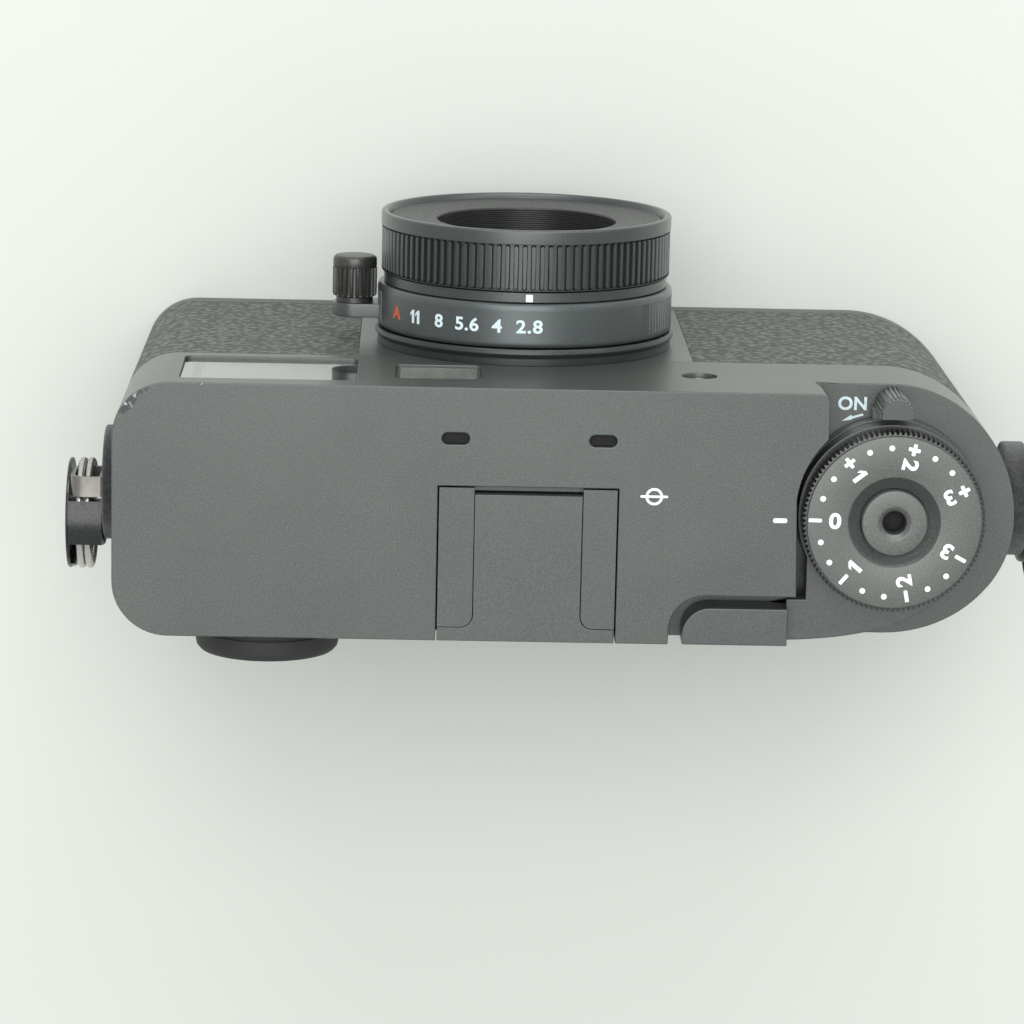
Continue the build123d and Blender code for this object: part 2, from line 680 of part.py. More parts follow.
with BuildPart() as button_spring:
    rod_z(dial_x, dial_y, 2.9, 58.2, button_bottom_z)
    rod_z(dial_x, dial_y, 2.1, 58.2, button_bottom_z, mode=Mode.SUBTRACT)
save("button_spring", button_spring.part)

# ---------------------------------------------------------------- rear buttons
for name, z in zip(("playback_button", "menu_button"), rear_button_z):
    with BuildPart() as rear_button:
        rod_y(rear_button_x, z, rear_button_r, rear_y - wall + 0.3, rear_y + 0.5)
        fillet(rear_button.edges().group_by(Axis.Y)[-1], 0.3)
        rod_y(rear_button_x, z, 1.2, 12.3, rear_y - wall + 0.3)
    save(name, rear_button.part)

# ---------------------------------------------------------------- battery door
latch_x = door_low[0] + 0.1 + latch_travel
latch_l = 2.5
with BuildPart() as battery_door:
    block((door_low[0], door_low[1], 0.1), (door_hinge_x, door_high[1], 0.1 + door_t))
    rod_y(door_hinge_x, door_hinge_z, knuckle_r, door_low[1], door_high[1])
    block((door_low[0], -3.2, 0.1), (latch_x + latch_l + gap, 3.2, 0.1 + door_t),
          mode=Mode.SUBTRACT)
    rod_y(door_hinge_x, door_hinge_z, knuckle_bore_r, door_low[1], door_high[1],
          mode=Mode.SUBTRACT)
save("battery_door", battery_door.part)

with BuildPart() as door_latch:
    block((latch_x, -3.0, 0.1), (latch_x + latch_l, 3.0, 0.1 + door_t))
    block((latch_x + 0.4, -2.0, 0.1 + door_t), (latch_x + latch_l - 0.4, 2.0, base_floor + 0.2))
    block((door_low[0] - 0.1, -2.0, base_floor + 0.2), (latch_x + latch_l, 2.0, base_floor + 0.8))
save("door_latch", door_latch.part)

# ---------------------------------------------------------------- port door
with BuildPart() as port_door:
    block((port_hinge_x - knuckle_r, port_hinge_y, port_low[1] + gap),
          (port_hinge_x + knuckle_r, port_high[0] - gap, port_high[1] - gap))
    rod_z(port_hinge_x, port_hinge_y, knuckle_r, port_low[1] + gap, port_high[1] - gap)
    rod_z(port_hinge_x, port_hinge_y, knuckle_bore_r, port_low[1] + gap, port_high[1] - gap,
          mode=Mode.SUBTRACT)
save("port_door", port_door.part)

with BuildPart() as door_pins:
    rod_y(door_hinge_x, door_hinge_z, pin_r, door_low[1] - 0.9, door_high[1] + 0.9)
    rod_z(port_hinge_x, port_hinge_y, pin_r, port_low[1] - 0.8, port_high[1] + 0.8)
save("door_pins", door_pins.part)

# ---------------------------------------------------------------- strap fittings
def span(side, low, high):
    """X values, in order, of a stretch measured outwards from the left (1) or right (-1) end."""
    end = left_x if side > 0 else right_x
    return sorted((end + side * low, end + side * high))


sides = (1, -1)
with BuildPart() as felt_discs:
    rod_x(strap_y, strap_z, disc_r, *span(-1, -pad_reach, disc_t))
    prism(body_outline(), strap_z - disc_r, strap_z + disc_r, mode=Mode.SUBTRACT)
    rod_x(strap_y, strap_z, boss_r, *span(-1, -pad_reach, 0.0), mode=Mode.SUBTRACT)
    rod_x(strap_y, strap_z, disc_r, *span(1, 0.0, disc_t))
    for side in sides:
        rod_x(strap_y, strap_z, lug_post_r, *span(side, 0.0, disc_t), mode=Mode.SUBTRACT)
save("felt_discs", felt_discs.part)

with BuildPart() as strap_lugs:
    for side in sides:
        rod_x(strap_y, strap_z, lug_post_r, *span(side, -wall, disc_t))
        low_x, high_x = span(side, disc_t, disc_t + lug_reach)
        block((low_x, strap_y - lug_w / 2, strap_z - lug_half_h),
              (high_x, strap_y + lug_w / 2, strap_z + lug_half_h))
        low_x, high_x = span(side, disc_t + lug_strip, disc_t + lug_reach - lug_strip)
        block((low_x, strap_y - lug_w / 2, strap_z - lug_half_h + lug_strip),
              (high_x, strap_y + lug_w / 2, strap_z + lug_half_h - lug_strip), mode=Mode.SUBTRACT)
save("strap_lugs", strap_lugs.part)

hang = Vector(0, 1, 0).rotate(Axis.X, ring_tilt - 90)
pivot = Vector(0, strap_y, strap_z)
centre = pivot + hang * ring_offset
hub = centre + hang * cover_hub_offset
for side, side_name in zip(sides, ("left", "right")):
    ring_x = sum(span(side, ring_out, ring_out)) / 2
    with BuildPart() as split_ring:
        for shift in (-coil_shift, coil_shift):
            with Locations(Location((ring_x + shift, centre.Y, centre.Z), (0, 90, 0))):
                Torus(ring_r, wire_r)
    save(f"split_ring_{side_name}", split_ring.part)

    with BuildPart() as ring_cover:
        rod_x(centre.Y, centre.Z, cover_r, *span(side, cover_in, cover_out))
        fillet(ring_cover.edges().sort_by(Axis.X)[-1 if side > 0 else 0], 0.6)
        rod_x(strap_y, strap_z, cover_relief_r, *span(side, cover_in, cover_in + cover_relief),
              mode=Mode.SUBTRACT)
        rod_x(hub.Y, hub.Z, cover_hub_r, *span(side, disc_t + 0.15, cover_in))
        with BuildPart(mode=Mode.PRIVATE) as hood:
            rod_x(centre.Y, centre.Z, hood_out_r, *span(side, disc_t + 0.15, cover_out - 0.2))
            rod_x(centre.Y, centre.Z, hood_in_r, *span(side, disc_t, cover_in + cover_relief),
                  mode=Mode.SUBTRACT)
            low_x, high_x = span(side, disc_t, cover_out)
            with BuildSketch(Plane((low_x, centre.Y, centre.Z), x_dir=(0, 1, 0), z_dir=(1, 0, 0))):
                with BuildLine():
                    start = Vector(20, 0).rotate(Axis.Z, hood_start)
                    end = Vector(20, 0).rotate(Axis.Z, hood_end)
                    Polyline((0, 0), (start.X, start.Y), (end.X, end.Y), close=True)
                make_face()
            extrude(amount=high_x - low_x, mode=Mode.INTERSECT)
        add(hood.part)
    save(f"ring_cover_{side_name}", ring_cover.part)
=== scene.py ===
"""Looks of the half frame camera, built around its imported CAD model. Lengths in the helpers are in mm."""

import json
import math
from math import cos, pi, radians, sin

import bmesh
import bpy
from mathutils import Matrix, Vector


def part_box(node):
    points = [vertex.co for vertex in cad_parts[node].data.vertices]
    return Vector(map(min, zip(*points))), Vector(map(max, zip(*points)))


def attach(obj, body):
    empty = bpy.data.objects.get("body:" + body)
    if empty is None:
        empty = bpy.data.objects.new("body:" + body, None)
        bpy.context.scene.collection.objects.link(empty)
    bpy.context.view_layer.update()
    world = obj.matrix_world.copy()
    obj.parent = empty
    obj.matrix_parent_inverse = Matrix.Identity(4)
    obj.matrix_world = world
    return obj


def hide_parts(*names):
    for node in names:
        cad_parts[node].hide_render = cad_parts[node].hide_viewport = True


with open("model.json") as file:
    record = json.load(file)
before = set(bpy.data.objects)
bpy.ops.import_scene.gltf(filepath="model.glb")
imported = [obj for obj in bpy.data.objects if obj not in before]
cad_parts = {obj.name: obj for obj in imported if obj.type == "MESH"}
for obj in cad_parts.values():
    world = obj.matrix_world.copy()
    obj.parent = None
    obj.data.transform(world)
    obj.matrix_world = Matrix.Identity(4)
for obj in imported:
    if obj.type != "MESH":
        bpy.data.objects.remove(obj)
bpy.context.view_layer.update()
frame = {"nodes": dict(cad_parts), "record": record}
MM = 0.001


# ------------------------------------------------------------------ places, all from the frame (mm)
def node_box(name):
    """Lowest and highest corner of a CAD node in mm."""
    low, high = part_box(name)
    return [v / MM for v in low], [v / MM for v in high]


def joint_place(name):
    """Anchor point of a joint in mm."""
    joint = next(j for j in frame["record"]["behaviour"]["joints"] if j["name"] == name)
    return [v / MM for v in joint["pos_m"]]


DIAL_X, DIAL_Y = joint_place("exposure_dial_turn")[:2]
LENS_Z = joint_place("aperture_turn")[2]
TOP_Z = node_box("accessory_shoe")[1][2]
DECK_Z = node_box("dial_post")[0][2]
FRONT_Y = node_box("front_panel")[0][1]
REAR_Y = node_box("accessory_shoe")[1][1]


# ------------------------------------------------------------------ mesh helpers
def finish_mesh(name, bm, material, body, sharp=35.0):
    """Turn a bmesh in mm into a shaded piece that rides on a body."""
    bmesh.ops.remove_doubles(bm, verts=bm.verts, dist=1e-5)
    bmesh.ops.recalc_face_normals(bm, faces=bm.faces)
    for face in bm.faces:
        face.smooth = True
    limit = radians(sharp)
    for edge in bm.edges:
        edge.smooth = len(edge.link_faces) == 2 and edge.calc_face_angle(0.0) < limit
    bmesh.ops.scale(bm, vec=(MM, MM, MM), verts=bm.verts)
    mesh = bpy.data.meshes.new(name)
    bm.to_mesh(mesh)
    bm.free()
    piece = bpy.data.objects.new(name, mesh)
    bpy.context.collection.objects.link(piece)
    piece.data.materials.append(material)
    flat = piece.modifiers.new("even_faces", "WEIGHTED_NORMAL")
    flat.keep_sharp = True
    flat.weight = 100
    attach(piece, body)
    return piece


def stand_in(node, name, bm, material, body="root", sharp=35.0):
    """A finished piece that takes the place of a CAD node."""
    piece = finish_mesh(name, bm, material, body, sharp)
    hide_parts(node)
    return piece


def second_material(piece, material, wanted):
    """Give another material to the faces that pass a test of their centre, in mm, and their normal."""
    piece.data.materials.append(material)
    for face in piece.data.polygons:
        if wanted(face.center / MM, face.normal):
            face.material_index = 1


def round_edges(bm, edges, width, steps, clamp=True):
    """Round edges over by about the given width."""
    bmesh.ops.bevel(bm, geom=edges, offset=width, segments=steps, profile=0.5, affect="EDGES",
                    clamp_overlap=clamp)


def raise_faces(bm, faces, height):
    """Extrude flat faces upwards."""
    top = bmesh.ops.extrude_face_region(bm, geom=faces)
    raised = [v for v in top["geom"] if isinstance(v, bmesh.types.BMVert)]
    bmesh.ops.translate(bm, verts=raised, vec=(0, 0, height))


def soften(points, radius, steps=3):
    """Replace each corner of a profile with a small curve; radius may be one value or one per corner."""
    count = len(points)
    radii = radius if isinstance(radius, (list, tuple)) else [radius] * count
    result = []
    for i, point in enumerate(points):
        corner = Vector(point[:2])
        if radii[i] <= 0:
            result.append(tuple(point))
            continue
        before = Vector(points[i - 1][:2]) - corner
        after = Vector(points[(i + 1) % count][:2]) - corner
        reach = min(radii[i], before.length * 0.45, after.length * 0.45)
        start = corner + before.normalized() * reach
        end = corner + after.normalized() * reach
        for k in range(steps + 1):
            t = k / steps
            place = start * (1 - t) ** 2 + corner * 2 * t * (1 - t) + end * t ** 2
            result.append((place.x, place.y) + tuple(point[2:]))
    return result


def turned(profile, along, centre, segments=160, relief=None):
    """Lathe a closed profile of (radius, height, depth) about an axis.

    relief(angle, height) cuts or adds radius, scaled by the profile's depth value."""
    bm = bmesh.new()
    rings = []
    for item in profile:
        radius, height = item[:2]
        depth = item[2] if len(item) > 2 else 0.0
        ring = []
        for i in range(segments):
            angle = 2 * pi * i / segments
            reach = radius + (depth * relief(angle, height) if relief and depth else 0.0)
            ring.append(bm.verts.new(axis_point(along, centre, reach, angle, height)))
        rings.append(ring)
    for a, b in zip(rings, rings[1:] + rings[:1]):
        for i in range(segments):
            j = (i + 1) % segments
            corners = (a[i], a[j], b[j], b[i])
            if len({tuple(round(c, 6) for c in v.co) for v in corners}) > 2:
                bm.faces.new(corners)
    return bm


def axis_point(along, centre, radius, angle, height):
    """A point at an angle and radius about an axis. Angle 0 is +X for Z, and +Z for Y and X."""
    if along == "Z":
        return (centre[0] + radius * cos(angle), centre[1] + radius * sin(angle), height)
    if along == "Y":
        return (centre[0] - radius * sin(angle), height, centre[1] + radius * cos(angle))
    return (height, centre[0] + radius * sin(angle), centre[1] + radius * cos(angle))


def slab_of(outline, low, high, edge=0.15, steps=3, bottom_edge=0.0):
    """A flat piece: a plan outline extruded between two heights, with softened rims."""
    bm = bmesh.new()
    raise_faces(bm, [bm.faces.new([bm.verts.new((x, y, low)) for x, y in outline])], high - low)
    bmesh.ops.recalc_face_normals(bm, faces=bm.faces)
    for width, level in ((edge, high), (bottom_edge, low)):
        if width > 0:
            rim = [e for e in bm.edges if all(abs(v.co.z - level) < 1e-6 for v in e.verts)]
            round_edges(bm, rim, width, steps)
    return bm


def arc(cx, cy, radius, start, end, steps=12):
    """Points on an arc, angles in degrees."""
    return [(cx + radius * cos(radians(start + (end - start) * k / steps)),
             cy + radius * sin(radians(start + (end - start) * k / steps))) for k in range(steps + 1)]


def rounded_box(low, high, edge=0.2, steps=3):
    """A box between two corners with rounded edges."""
    bm = bmesh.new()
    bmesh.ops.create_cube(bm, size=1.0)
    size = [h - l for l, h in zip(low, high)]
    middle = [(h + l) / 2 for l, h in zip(low, high)]
    bmesh.ops.scale(bm, vec=size, verts=bm.verts)
    bmesh.ops.translate(bm, vec=middle, verts=bm.verts)
    round_edges(bm, list(bm.edges), edge, steps)
    return bm


def merged(*parts):
    """One bmesh from several."""
    whole = bmesh.new()
    for part in parts:
        scratch = bpy.data.meshes.new("scratch")
        part.to_mesh(scratch)
        whole.from_mesh(scratch)
        bpy.data.meshes.remove(scratch)
        part.free()
    return whole


# ------------------------------------------------------------------ materials
class Shader:
    """A node material with a few shorthands."""

    def __init__(self, name, colour, roughness=0.5, metallic=0.0, specular=0.5):
        self.material = bpy.data.materials.new(name)
        self.material.use_nodes = True
        self.nodes = self.material.node_tree.nodes
        self.links = self.material.node_tree.links
        self.bsdf = self.nodes["Principled BSDF"]
        self.colour = colour
        self.set("Base Color", (*colour, 1.0))
        self.set("Roughness", roughness)
        self.set("Metallic", metallic)
        self.set("Specular IOR Level", specular)
        self.place = self.nodes.new("ShaderNodeTexCoord").outputs["Object"]

    def set(self, socket, value):
        self.bsdf.inputs[socket].default_value = value

    def link(self, output, socket):
        self.links.new(output, self.bsdf.inputs[socket])

    def node(self, kind, **values):
        made = self.nodes.new(kind)
        for key, value in values.items():
            if key in made.inputs:
                if hasattr(value, "links"):
                    self.links.new(value, made.inputs[key])
                else:
                    made.inputs[key].default_value = value
            else:
                setattr(made, key, value)
        return made

    def noise(self, size_mm, detail=2.0, rough=0.5, stretch=None):
        vector = self.place
        if stretch:
            vector = self.node("ShaderNodeMapping", Vector=self.place, Scale=stretch).outputs[0]
        return self.node("ShaderNodeTexNoise", Vector=vector, Scale=1.0 / (size_mm * MM), Detail=detail,
                         Roughness=rough).outputs["Fac"]

    def cells(self, size_mm, feature="F1", spread=1.0):
        return self.node("ShaderNodeTexVoronoi", feature=feature, Vector=self.place,
                         Scale=1.0 / (size_mm * MM), Randomness=spread).outputs["Distance"]

    def remap(self, value, low, high, to_low=0.0, to_high=1.0):
        made = self.node("ShaderNodeMapRange", interpolation_type="SMOOTHSTEP")
        self.links.new(value, made.inputs["Value"])
        for key, number in (("From Min", low), ("From Max", high), ("To Min", to_low), ("To Max", to_high)):
            made.inputs[key].default_value = number
        return made.outputs["Result"]

    def maths(self, operation, a, b=0.0, c=0.0):
        made = self.nodes.new("ShaderNodeMath")
        made.operation = operation
        for socket, value in zip(made.inputs, (a, b, c)):
            if hasattr(value, "links"):
                self.links.new(value, socket)
            else:
                socket.default_value = value
        return made.outputs[0]

    def mix(self, factor, a, b):
        made = self.nodes.new("ShaderNodeMix")
        made.data_type = "RGBA"
        for key, value in ((0, factor), (6, a), (7, b)):
            if hasattr(value, "links"):
                self.links.new(value, made.inputs[key])
            elif key == 0:
                made.inputs[key].default_value = value
            else:
                made.inputs[key].default_value = (*value, 1.0)
        return made.outputs[2]

    def tint(self, factor, dark, light):
        """Base colour swings between two brightnesses of the material's colour."""
        result = self.mix(factor, [c * dark for c in self.colour], [c * light for c in self.colour])
        self.link(result, "Base Color")
        return result

    def bump(self, height, depth_mm, strength=1.0):
        made = self.node("ShaderNodeBump", Strength=strength, Distance=depth_mm * MM)
        self.links.new(height, made.inputs["Height"])
        self.link(made.outputs["Normal"], "Normal")
        return made

    def axes(self):
        made = self.node("ShaderNodeSeparateXYZ", Vector=self.place)
        return made.outputs


def paint(name, colour, roughness=0.42, metallic=0.35, grain=0.2, contrast=0.1, depth=0.004, sparkle=0.0,
          coat=0.0):
    """Sprayed metal: fine grain in colour, gloss and height, with optional bright flakes."""
    shader = Shader(name, colour, roughness, metallic)
    fine = shader.noise(grain, 3.0, 0.6)
    wide = shader.noise(14.0, 2.0, 0.5)
    level = shader.maths("ADD", shader.maths("MULTIPLY", fine, 0.85), shader.maths("MULTIPLY", wide, 0.15))
    base = shader.tint(shader.remap(level, 0.3, 0.7), 1 - contrast, 1 + contrast)
    if sparkle:
        flakes = shader.remap(shader.noise(grain * 0.7, 1.0, 0.4), 0.64, 0.72)
        base = shader.mix(shader.maths("MULTIPLY", flakes, sparkle), base, (0.42, 0.43, 0.41))
        shader.link(base, "Base Color")
    shader.link(shader.remap(fine, 0.3, 0.7, roughness - 0.06, roughness + 0.08), "Roughness")
    shader.bump(fine, depth)
    if coat:
        shader.set("Coat Weight", coat)
        shader.set("Coat Roughness", 0.35)
    shader.base = base
    return shader


def leather(name, colour):
    """Pebbled imitation leather: irregular raised pebbles with fine creases."""
    shader = Shader(name, colour, 0.5, 0.0, 0.45)
    warp = shader.node("ShaderNodeTexNoise", Vector=shader.place, Scale=900.0, Detail=2.0).outputs["Color"]
    shift = shader.node("ShaderNodeVectorMath", operation="MULTIPLY_ADD")
    shader.links.new(warp, shift.inputs[0])
    shift.inputs[1].default_value = (0.0006, 0.0006, 0.0006)
    shader.links.new(shader.place, shift.inputs[2])
    pebble = shader.node("ShaderNodeTexVoronoi", feature="SMOOTH_F1", Vector=shift.outputs[0], Scale=1050.0,
                         Smoothness=0.35).outputs["Distance"]
    big = shader.noise(3.5, 2.0)
    fine = shader.noise(0.18, 3.0, 0.6)
    height = shader.maths("SUBTRACT", 1.0, pebble)
    height = shader.maths("ADD", height, shader.maths("MULTIPLY", big, 0.5))
    height = shader.maths("ADD", height, shader.maths("MULTIPLY", fine, 0.22))
    # Pebble tops are painted lighter and the crevices between them darker: painted shade in the crevices.
    shader.tint(shader.remap(pebble, 0.15, 0.62), 1.2, 0.7)
    shader.link(shader.remap(pebble, 0.2, 0.7, 0.38, 0.68), "Roughness")
    shader.bump(height, 0.22, 0.9)
    return shader.material


def plastic(name, colour, roughness=0.45, grain=0.25, depth=0.008, contrast=0.12):
    """Fine spark-eroded moulded plastic."""
    shader = Shader(name, colour, roughness, 0.0, 0.5)
    fine = shader.noise(grain, 3.0, 0.6)
    shader.tint(shader.remap(fine, 0.3, 0.7), 1 - contrast, 1 + contrast)
    shader.link(shader.remap(fine, 0.3, 0.7, roughness - 0.06, roughness + 0.1), "Roughness")
    shader.bump(fine, depth)
    return shader.material


def steel(name, colour=(0.55, 0.54, 0.52), roughness=0.26, stretch=(0.15, 1.0, 1.0)):
    """Bright steel with fine drawn lines and slight tarnish."""
    shader = Shader(name, colour, roughness, 1.0)
    lines = shader.noise(0.12, 3.0, 0.6, stretch)
    dull = shader.noise(4.0, 3.0, 0.6)
    shader.tint(shader.remap(dull, 0.3, 0.7), 0.78, 1.05)
    shader.link(shader.remap(lines, 0.3, 0.7, roughness - 0.06, roughness + 0.12), "Roughness")
    shader.bump(lines, 0.003)
    return shader.material


def felt(name, colour):
    """Short matted fibres."""
    shader = Shader(name, colour, 0.95, 0.0, 0.15)
    hairs = shader.noise(0.22, 6.0, 0.75)
    clumps = shader.noise(0.9, 3.0, 0.6)
    level = shader.maths("ADD", shader.maths("MULTIPLY", hairs, 0.6), shader.maths("MULTIPLY", clumps, 0.4))
    shader.tint(shader.remap(level, 0.38, 0.66), 0.3, 3.2)
    shader.set("Sheen Weight", 0.5)
    shader.set("Sheen Roughness", 0.6)
    shader.set("Sheen Tint", (0.7, 0.72, 0.72, 1.0))
    shader.bump(level, 0.25)
    return shader.material


def glass(name, colour, roughness=0.03, coat=1.0, weight=1.0):
    """Coated glass with a faint film of dust."""
    shader = Shader(name, colour, roughness, 0.0, 0.6)
    dust = shader.noise(0.5, 4.0, 0.65)
    shader.link(shader.remap(dust, 0.45, 0.8, roughness, roughness + 0.12), "Roughness")
    shader.set("Transmission Weight", weight)
    shader.set("IOR", 1.5)
    shader.set("Coat Weight", coat)
    shader.set("Coat Tint", (0.92, 0.92, 0.92, 1.0))
    return shader.material


def ink(name, colour, roughness=0.5):
    """Printed or filled marking, slightly uneven in tone."""
    shader = Shader(name, colour, roughness, 0.0, 0.3)
    patch = shader.noise(0.3, 3.0, 0.6)
    shader.tint(shader.remap(patch, 0.3, 0.7), 0.9, 1.03)
    shader.bump(patch, 0.004)
    return shader.material


TOP_COLOUR = (0.056, 0.065, 0.060)
top_shader = paint("top_paint", TOP_COLOUR, 0.40, 0.45, 0.2, 0.34, 0.006, 0.10, 0.6)
TOP_PAINT = top_shader.material
DIAL_PAINT = paint("dial_paint", (0.112, 0.120, 0.113), 0.42, 0.5, 0.17, 0.26, 0.006, 0.14).material
DECK_PAINT = paint("deck_paint", (0.060, 0.066, 0.064), 0.40, 0.5, 0.18, 0.26, 0.006, 0.12, 0.5).material
RING_PAINT = paint("ring_paint", (0.036, 0.043, 0.043), 0.34, 0.4, 0.16, 0.2, 0.003, 0.1, 0.7).material
SCALE_PAINT = paint("scale_paint", (0.056, 0.066, 0.067), 0.34, 0.4, 0.16, 0.2, 0.003, 0.1, 0.7).material
FOCUS_PAINT = paint("focus_paint", (0.027, 0.033, 0.033), 0.34, 0.4, 0.16, 0.2, 0.003, 0.08, 0.7).material
FLANGE_PAINT = paint("flange_paint", (0.020, 0.025, 0.025), 0.36, 0.4, 0.16, 0.2, 0.003, 0.08, 0.4).material
KNURL_PAINT = paint("knurl_paint", (0.060, 0.062, 0.058), 0.32, 0.6, 0.2, 0.2, 0.004, 0.1).material
PANEL_PAINT = paint("panel_paint", (0.046, 0.053, 0.050), 0.36, 0.45, 0.2, 0.2, 0.004, 0.08, 0.8).material
BASE_PAINT = paint("base_paint", (0.09, 0.093, 0.09), 0.42, 0.45, 0.2, 0.15, 0.005, 0.2).material
LEATHER = leather("leatherette", (0.074, 0.082, 0.076))
BODY_PLASTIC = plastic("body_plastic", (0.028, 0.029, 0.029), 0.42)
BLACK_PLASTIC = plastic("black_plastic", (0.015, 0.015, 0.016), 0.38)
COVER_PLASTIC = plastic("cover_plastic", (0.012, 0.013, 0.014), 0.24, 0.4, 0.002, 0.1)
MATTE_BLACK = plastic("matte_black", (0.006, 0.006, 0.006), 0.7)
RUBBER = plastic("rubber", (0.017, 0.017, 0.018), 0.62, 0.15, 0.012, 0.2)
STEEL = steel("steel")
DARK_STEEL = steel("dark_steel", (0.12, 0.12, 0.12), 0.35)
FELT = felt("felt", (0.012, 0.012, 0.013))
WHITE_INK = ink("white_ink", (0.86, 0.87, 0.84))
PALE_INK = ink("pale_ink", (0.62, 0.74, 0.78))
ORANGE_INK = ink("orange_ink", (0.60, 0.10, 0.03))
CLEAR_GLASS = glass("clear_glass", (0.93, 0.90, 0.90))
LENS_GLASS = glass("lens_glass", (0.55, 0.62, 0.68), 0.02)


# ------------------------------------------------------------------ CAD nodes with softened edges
def refined(node, material, edge, body="root", plain=None):
    """A copy of a CAD node's own shape with its sharp edges rounded, but not where plain(point) holds."""
    bm = bmesh.new()
    bm.from_mesh(frame["nodes"][node].data)
    bmesh.ops.scale(bm, vec=(1 / MM, 1 / MM, 1 / MM), verts=bm.verts)
    bmesh.ops.remove_doubles(bm, verts=bm.verts, dist=1e-4)
    bmesh.ops.dissolve_limit(bm, angle_limit=radians(0.4), verts=bm.verts, edges=bm.edges)
    limit = radians(28.0)
    edges = [e for e in bm.edges if len(e.link_faces) == 2 and e.calc_face_angle(0.0) > limit]
    if plain:
        edges = [e for e in edges if not plain((e.verts[0].co + e.verts[1].co) / 2)]
    if edge > 0:
        round_edges(bm, edges, edge, 2, False)
    return stand_in(node, node + "_skin", bm, material, body, 40.0)


def dress(material, *nodes):
    """Give CAD nodes a material as they are."""
    for node in nodes:
        mesh = frame["nodes"][node].data
        mesh.materials.clear()
        mesh.materials.append(material)


def glyph_mesh(character, size, bold):
    """One flat character and its width. The figure one is drawn here with a flag and no foot."""
    bm = bmesh.new()
    if character == "1":
        height, stem = 0.70 * size + bold, 0.115 * size + 2 * bold
        tip, shoulder = -0.10 * size - bold, height - 0.20 * size
        outline = ((0, -bold), (stem, -bold), (stem, height), (stem * 0.25, height), (tip, shoulder),
                   (tip, shoulder - stem * 0.95), (0, height - stem * 1.05))
        bm.faces.new([bm.verts.new((x, y, 0)) for x, y in outline])
    else:
        curve = bpy.data.curves.new("glyph", "FONT")
        curve.body = character
        curve.size = size
        curve.offset = bold
        curve.resolution_u = 6
        holder = bpy.data.objects.new("glyph", curve)
        mesh = bpy.data.meshes.new_from_object(holder)
        bm.from_mesh(mesh)
        bpy.data.objects.remove(holder)
        bpy.data.curves.remove(curve)
        bpy.data.meshes.remove(mesh)
    low = min(v.co.x for v in bm.verts)
    for vert in bm.verts:
        vert.co.x -= low
    return bm, max(v.co.x for v in bm.verts)


def lettering(name, text, size, material, body, place, height=0.03, bold=0.02, wide=1.12):
    """Raised marking. place(x, y, z) maps flat text coordinates in mm to the object."""
    line = []
    reach = 0.0
    for character in text:
        bm, width = glyph_mesh(character, size, bold)
        bmesh.ops.translate(bm, verts=bm.verts, vec=(reach, 0, 0))
        reach += width + 0.085 * size
        line.append(bm)
    bm = merged(*line)
    raise_faces(bm, list(bm.faces), height)
    middle_x = (max(v.co.x for v in bm.verts) + min(v.co.x for v in bm.verts)) / 2
    middle_y = (max(v.co.y for v in bm.verts) + min(v.co.y for v in bm.verts)) / 2
    for vert in bm.verts:
        vert.co = place((vert.co.x - middle_x) * wide, vert.co.y - middle_y, vert.co.z)
    return finish_mesh(name, bm, material, body)


def flat_place(x, y, z, turn_degrees):
    """Text placement on a level face at (x, y, z), turned about Z."""
    turn = radians(turn_degrees)
    return lambda u, v, w: (x + u * cos(turn) - v * sin(turn), y + u * sin(turn) + v * cos(turn), z + w)


def bar(half_w, half_h, radius, z_low, z_high, place):
    """A small round-ended bar or dot, mapped to its place."""
    outline = []
    for cx, cy, start in ((half_w - radius, half_h - radius, 0), (radius - half_w, half_h - radius, 90),
                          (radius - half_w, radius - half_h, 180), (half_w - radius, radius - half_h, 270)):
        outline += arc(cx, cy, radius, start, start + 90, 5)
    bm = bmesh.new()
    raise_faces(bm, [bm.faces.new([bm.verts.new((x, y, z_low)) for x, y in outline])], z_high - z_low)
    for vert in bm.verts:
        vert.co = place(*vert.co)
    return bm


# ------------------------------------------------------------------ top cover
def chipped_top():
    """Bare metal shows where the front left corner has been knocked."""
    side_x, corner_r, inset = node_box("top_cover")[1][0], 6.5, 0.35
    arc_x, arc_y, arc_r = side_x - corner_r, FRONT_Y + corner_r, corner_r - inset
    knocks = ((-32, 1.0), (-37, 1.2), (-42, 1.2), (-47, 1.0), (-53, 0.5), (-59, 0.5), (-66, 0.45))
    spots = [(arc_x + arc_r * cos(radians(a)), arc_y + arc_r * sin(radians(a)), reach) for a, reach in knocks]
    spots.append((side_x - 10.2, FRONT_Y + 0.05, 0.35))
    x, y, z = top_shader.axes()
    jagged = top_shader.noise(1.1, 4.0, 0.7)
    worn = None
    for sx, sy, reach in spots:
        dx = top_shader.maths("SUBTRACT", x, sx * MM)
        dy = top_shader.maths("SUBTRACT", y, sy * MM)
        far = top_shader.maths("SQRT", top_shader.maths(
            "ADD", top_shader.maths("MULTIPLY", dx, dx), top_shader.maths("MULTIPLY", dy, dy)))
        near = top_shader.remap(far, 0.2 * reach * MM, reach * MM, 1.0, 0.0)
        worn = near if worn is None else top_shader.maths("MAXIMUM", worn, near)
    high = top_shader.remap(z, (TOP_Z - 0.9) * MM, (TOP_Z - 0.25) * MM)
    mask = top_shader.maths("MULTIPLY", top_shader.maths("MULTIPLY", worn, high), jagged)
    mask = top_shader.remap(mask, 0.24, 0.33)
    metal = top_shader.mix(top_shader.remap(top_shader.noise(0.7, 4.0, 0.7), 0.52, 0.62),
                           (0.018, 0.02, 0.021), (0.45, 0.46, 0.50))
    top_shader.link(top_shader.mix(mask, top_shader.base, metal), "Base Color")


chipped_top()


def near_right_boss(point):
    """The pad's boss on the round end meets the cover in slivers too thin to round over."""
    return point.x < -52.0 and abs(point.y) < 9.0 and abs(point.z - 48.0) < 9.0


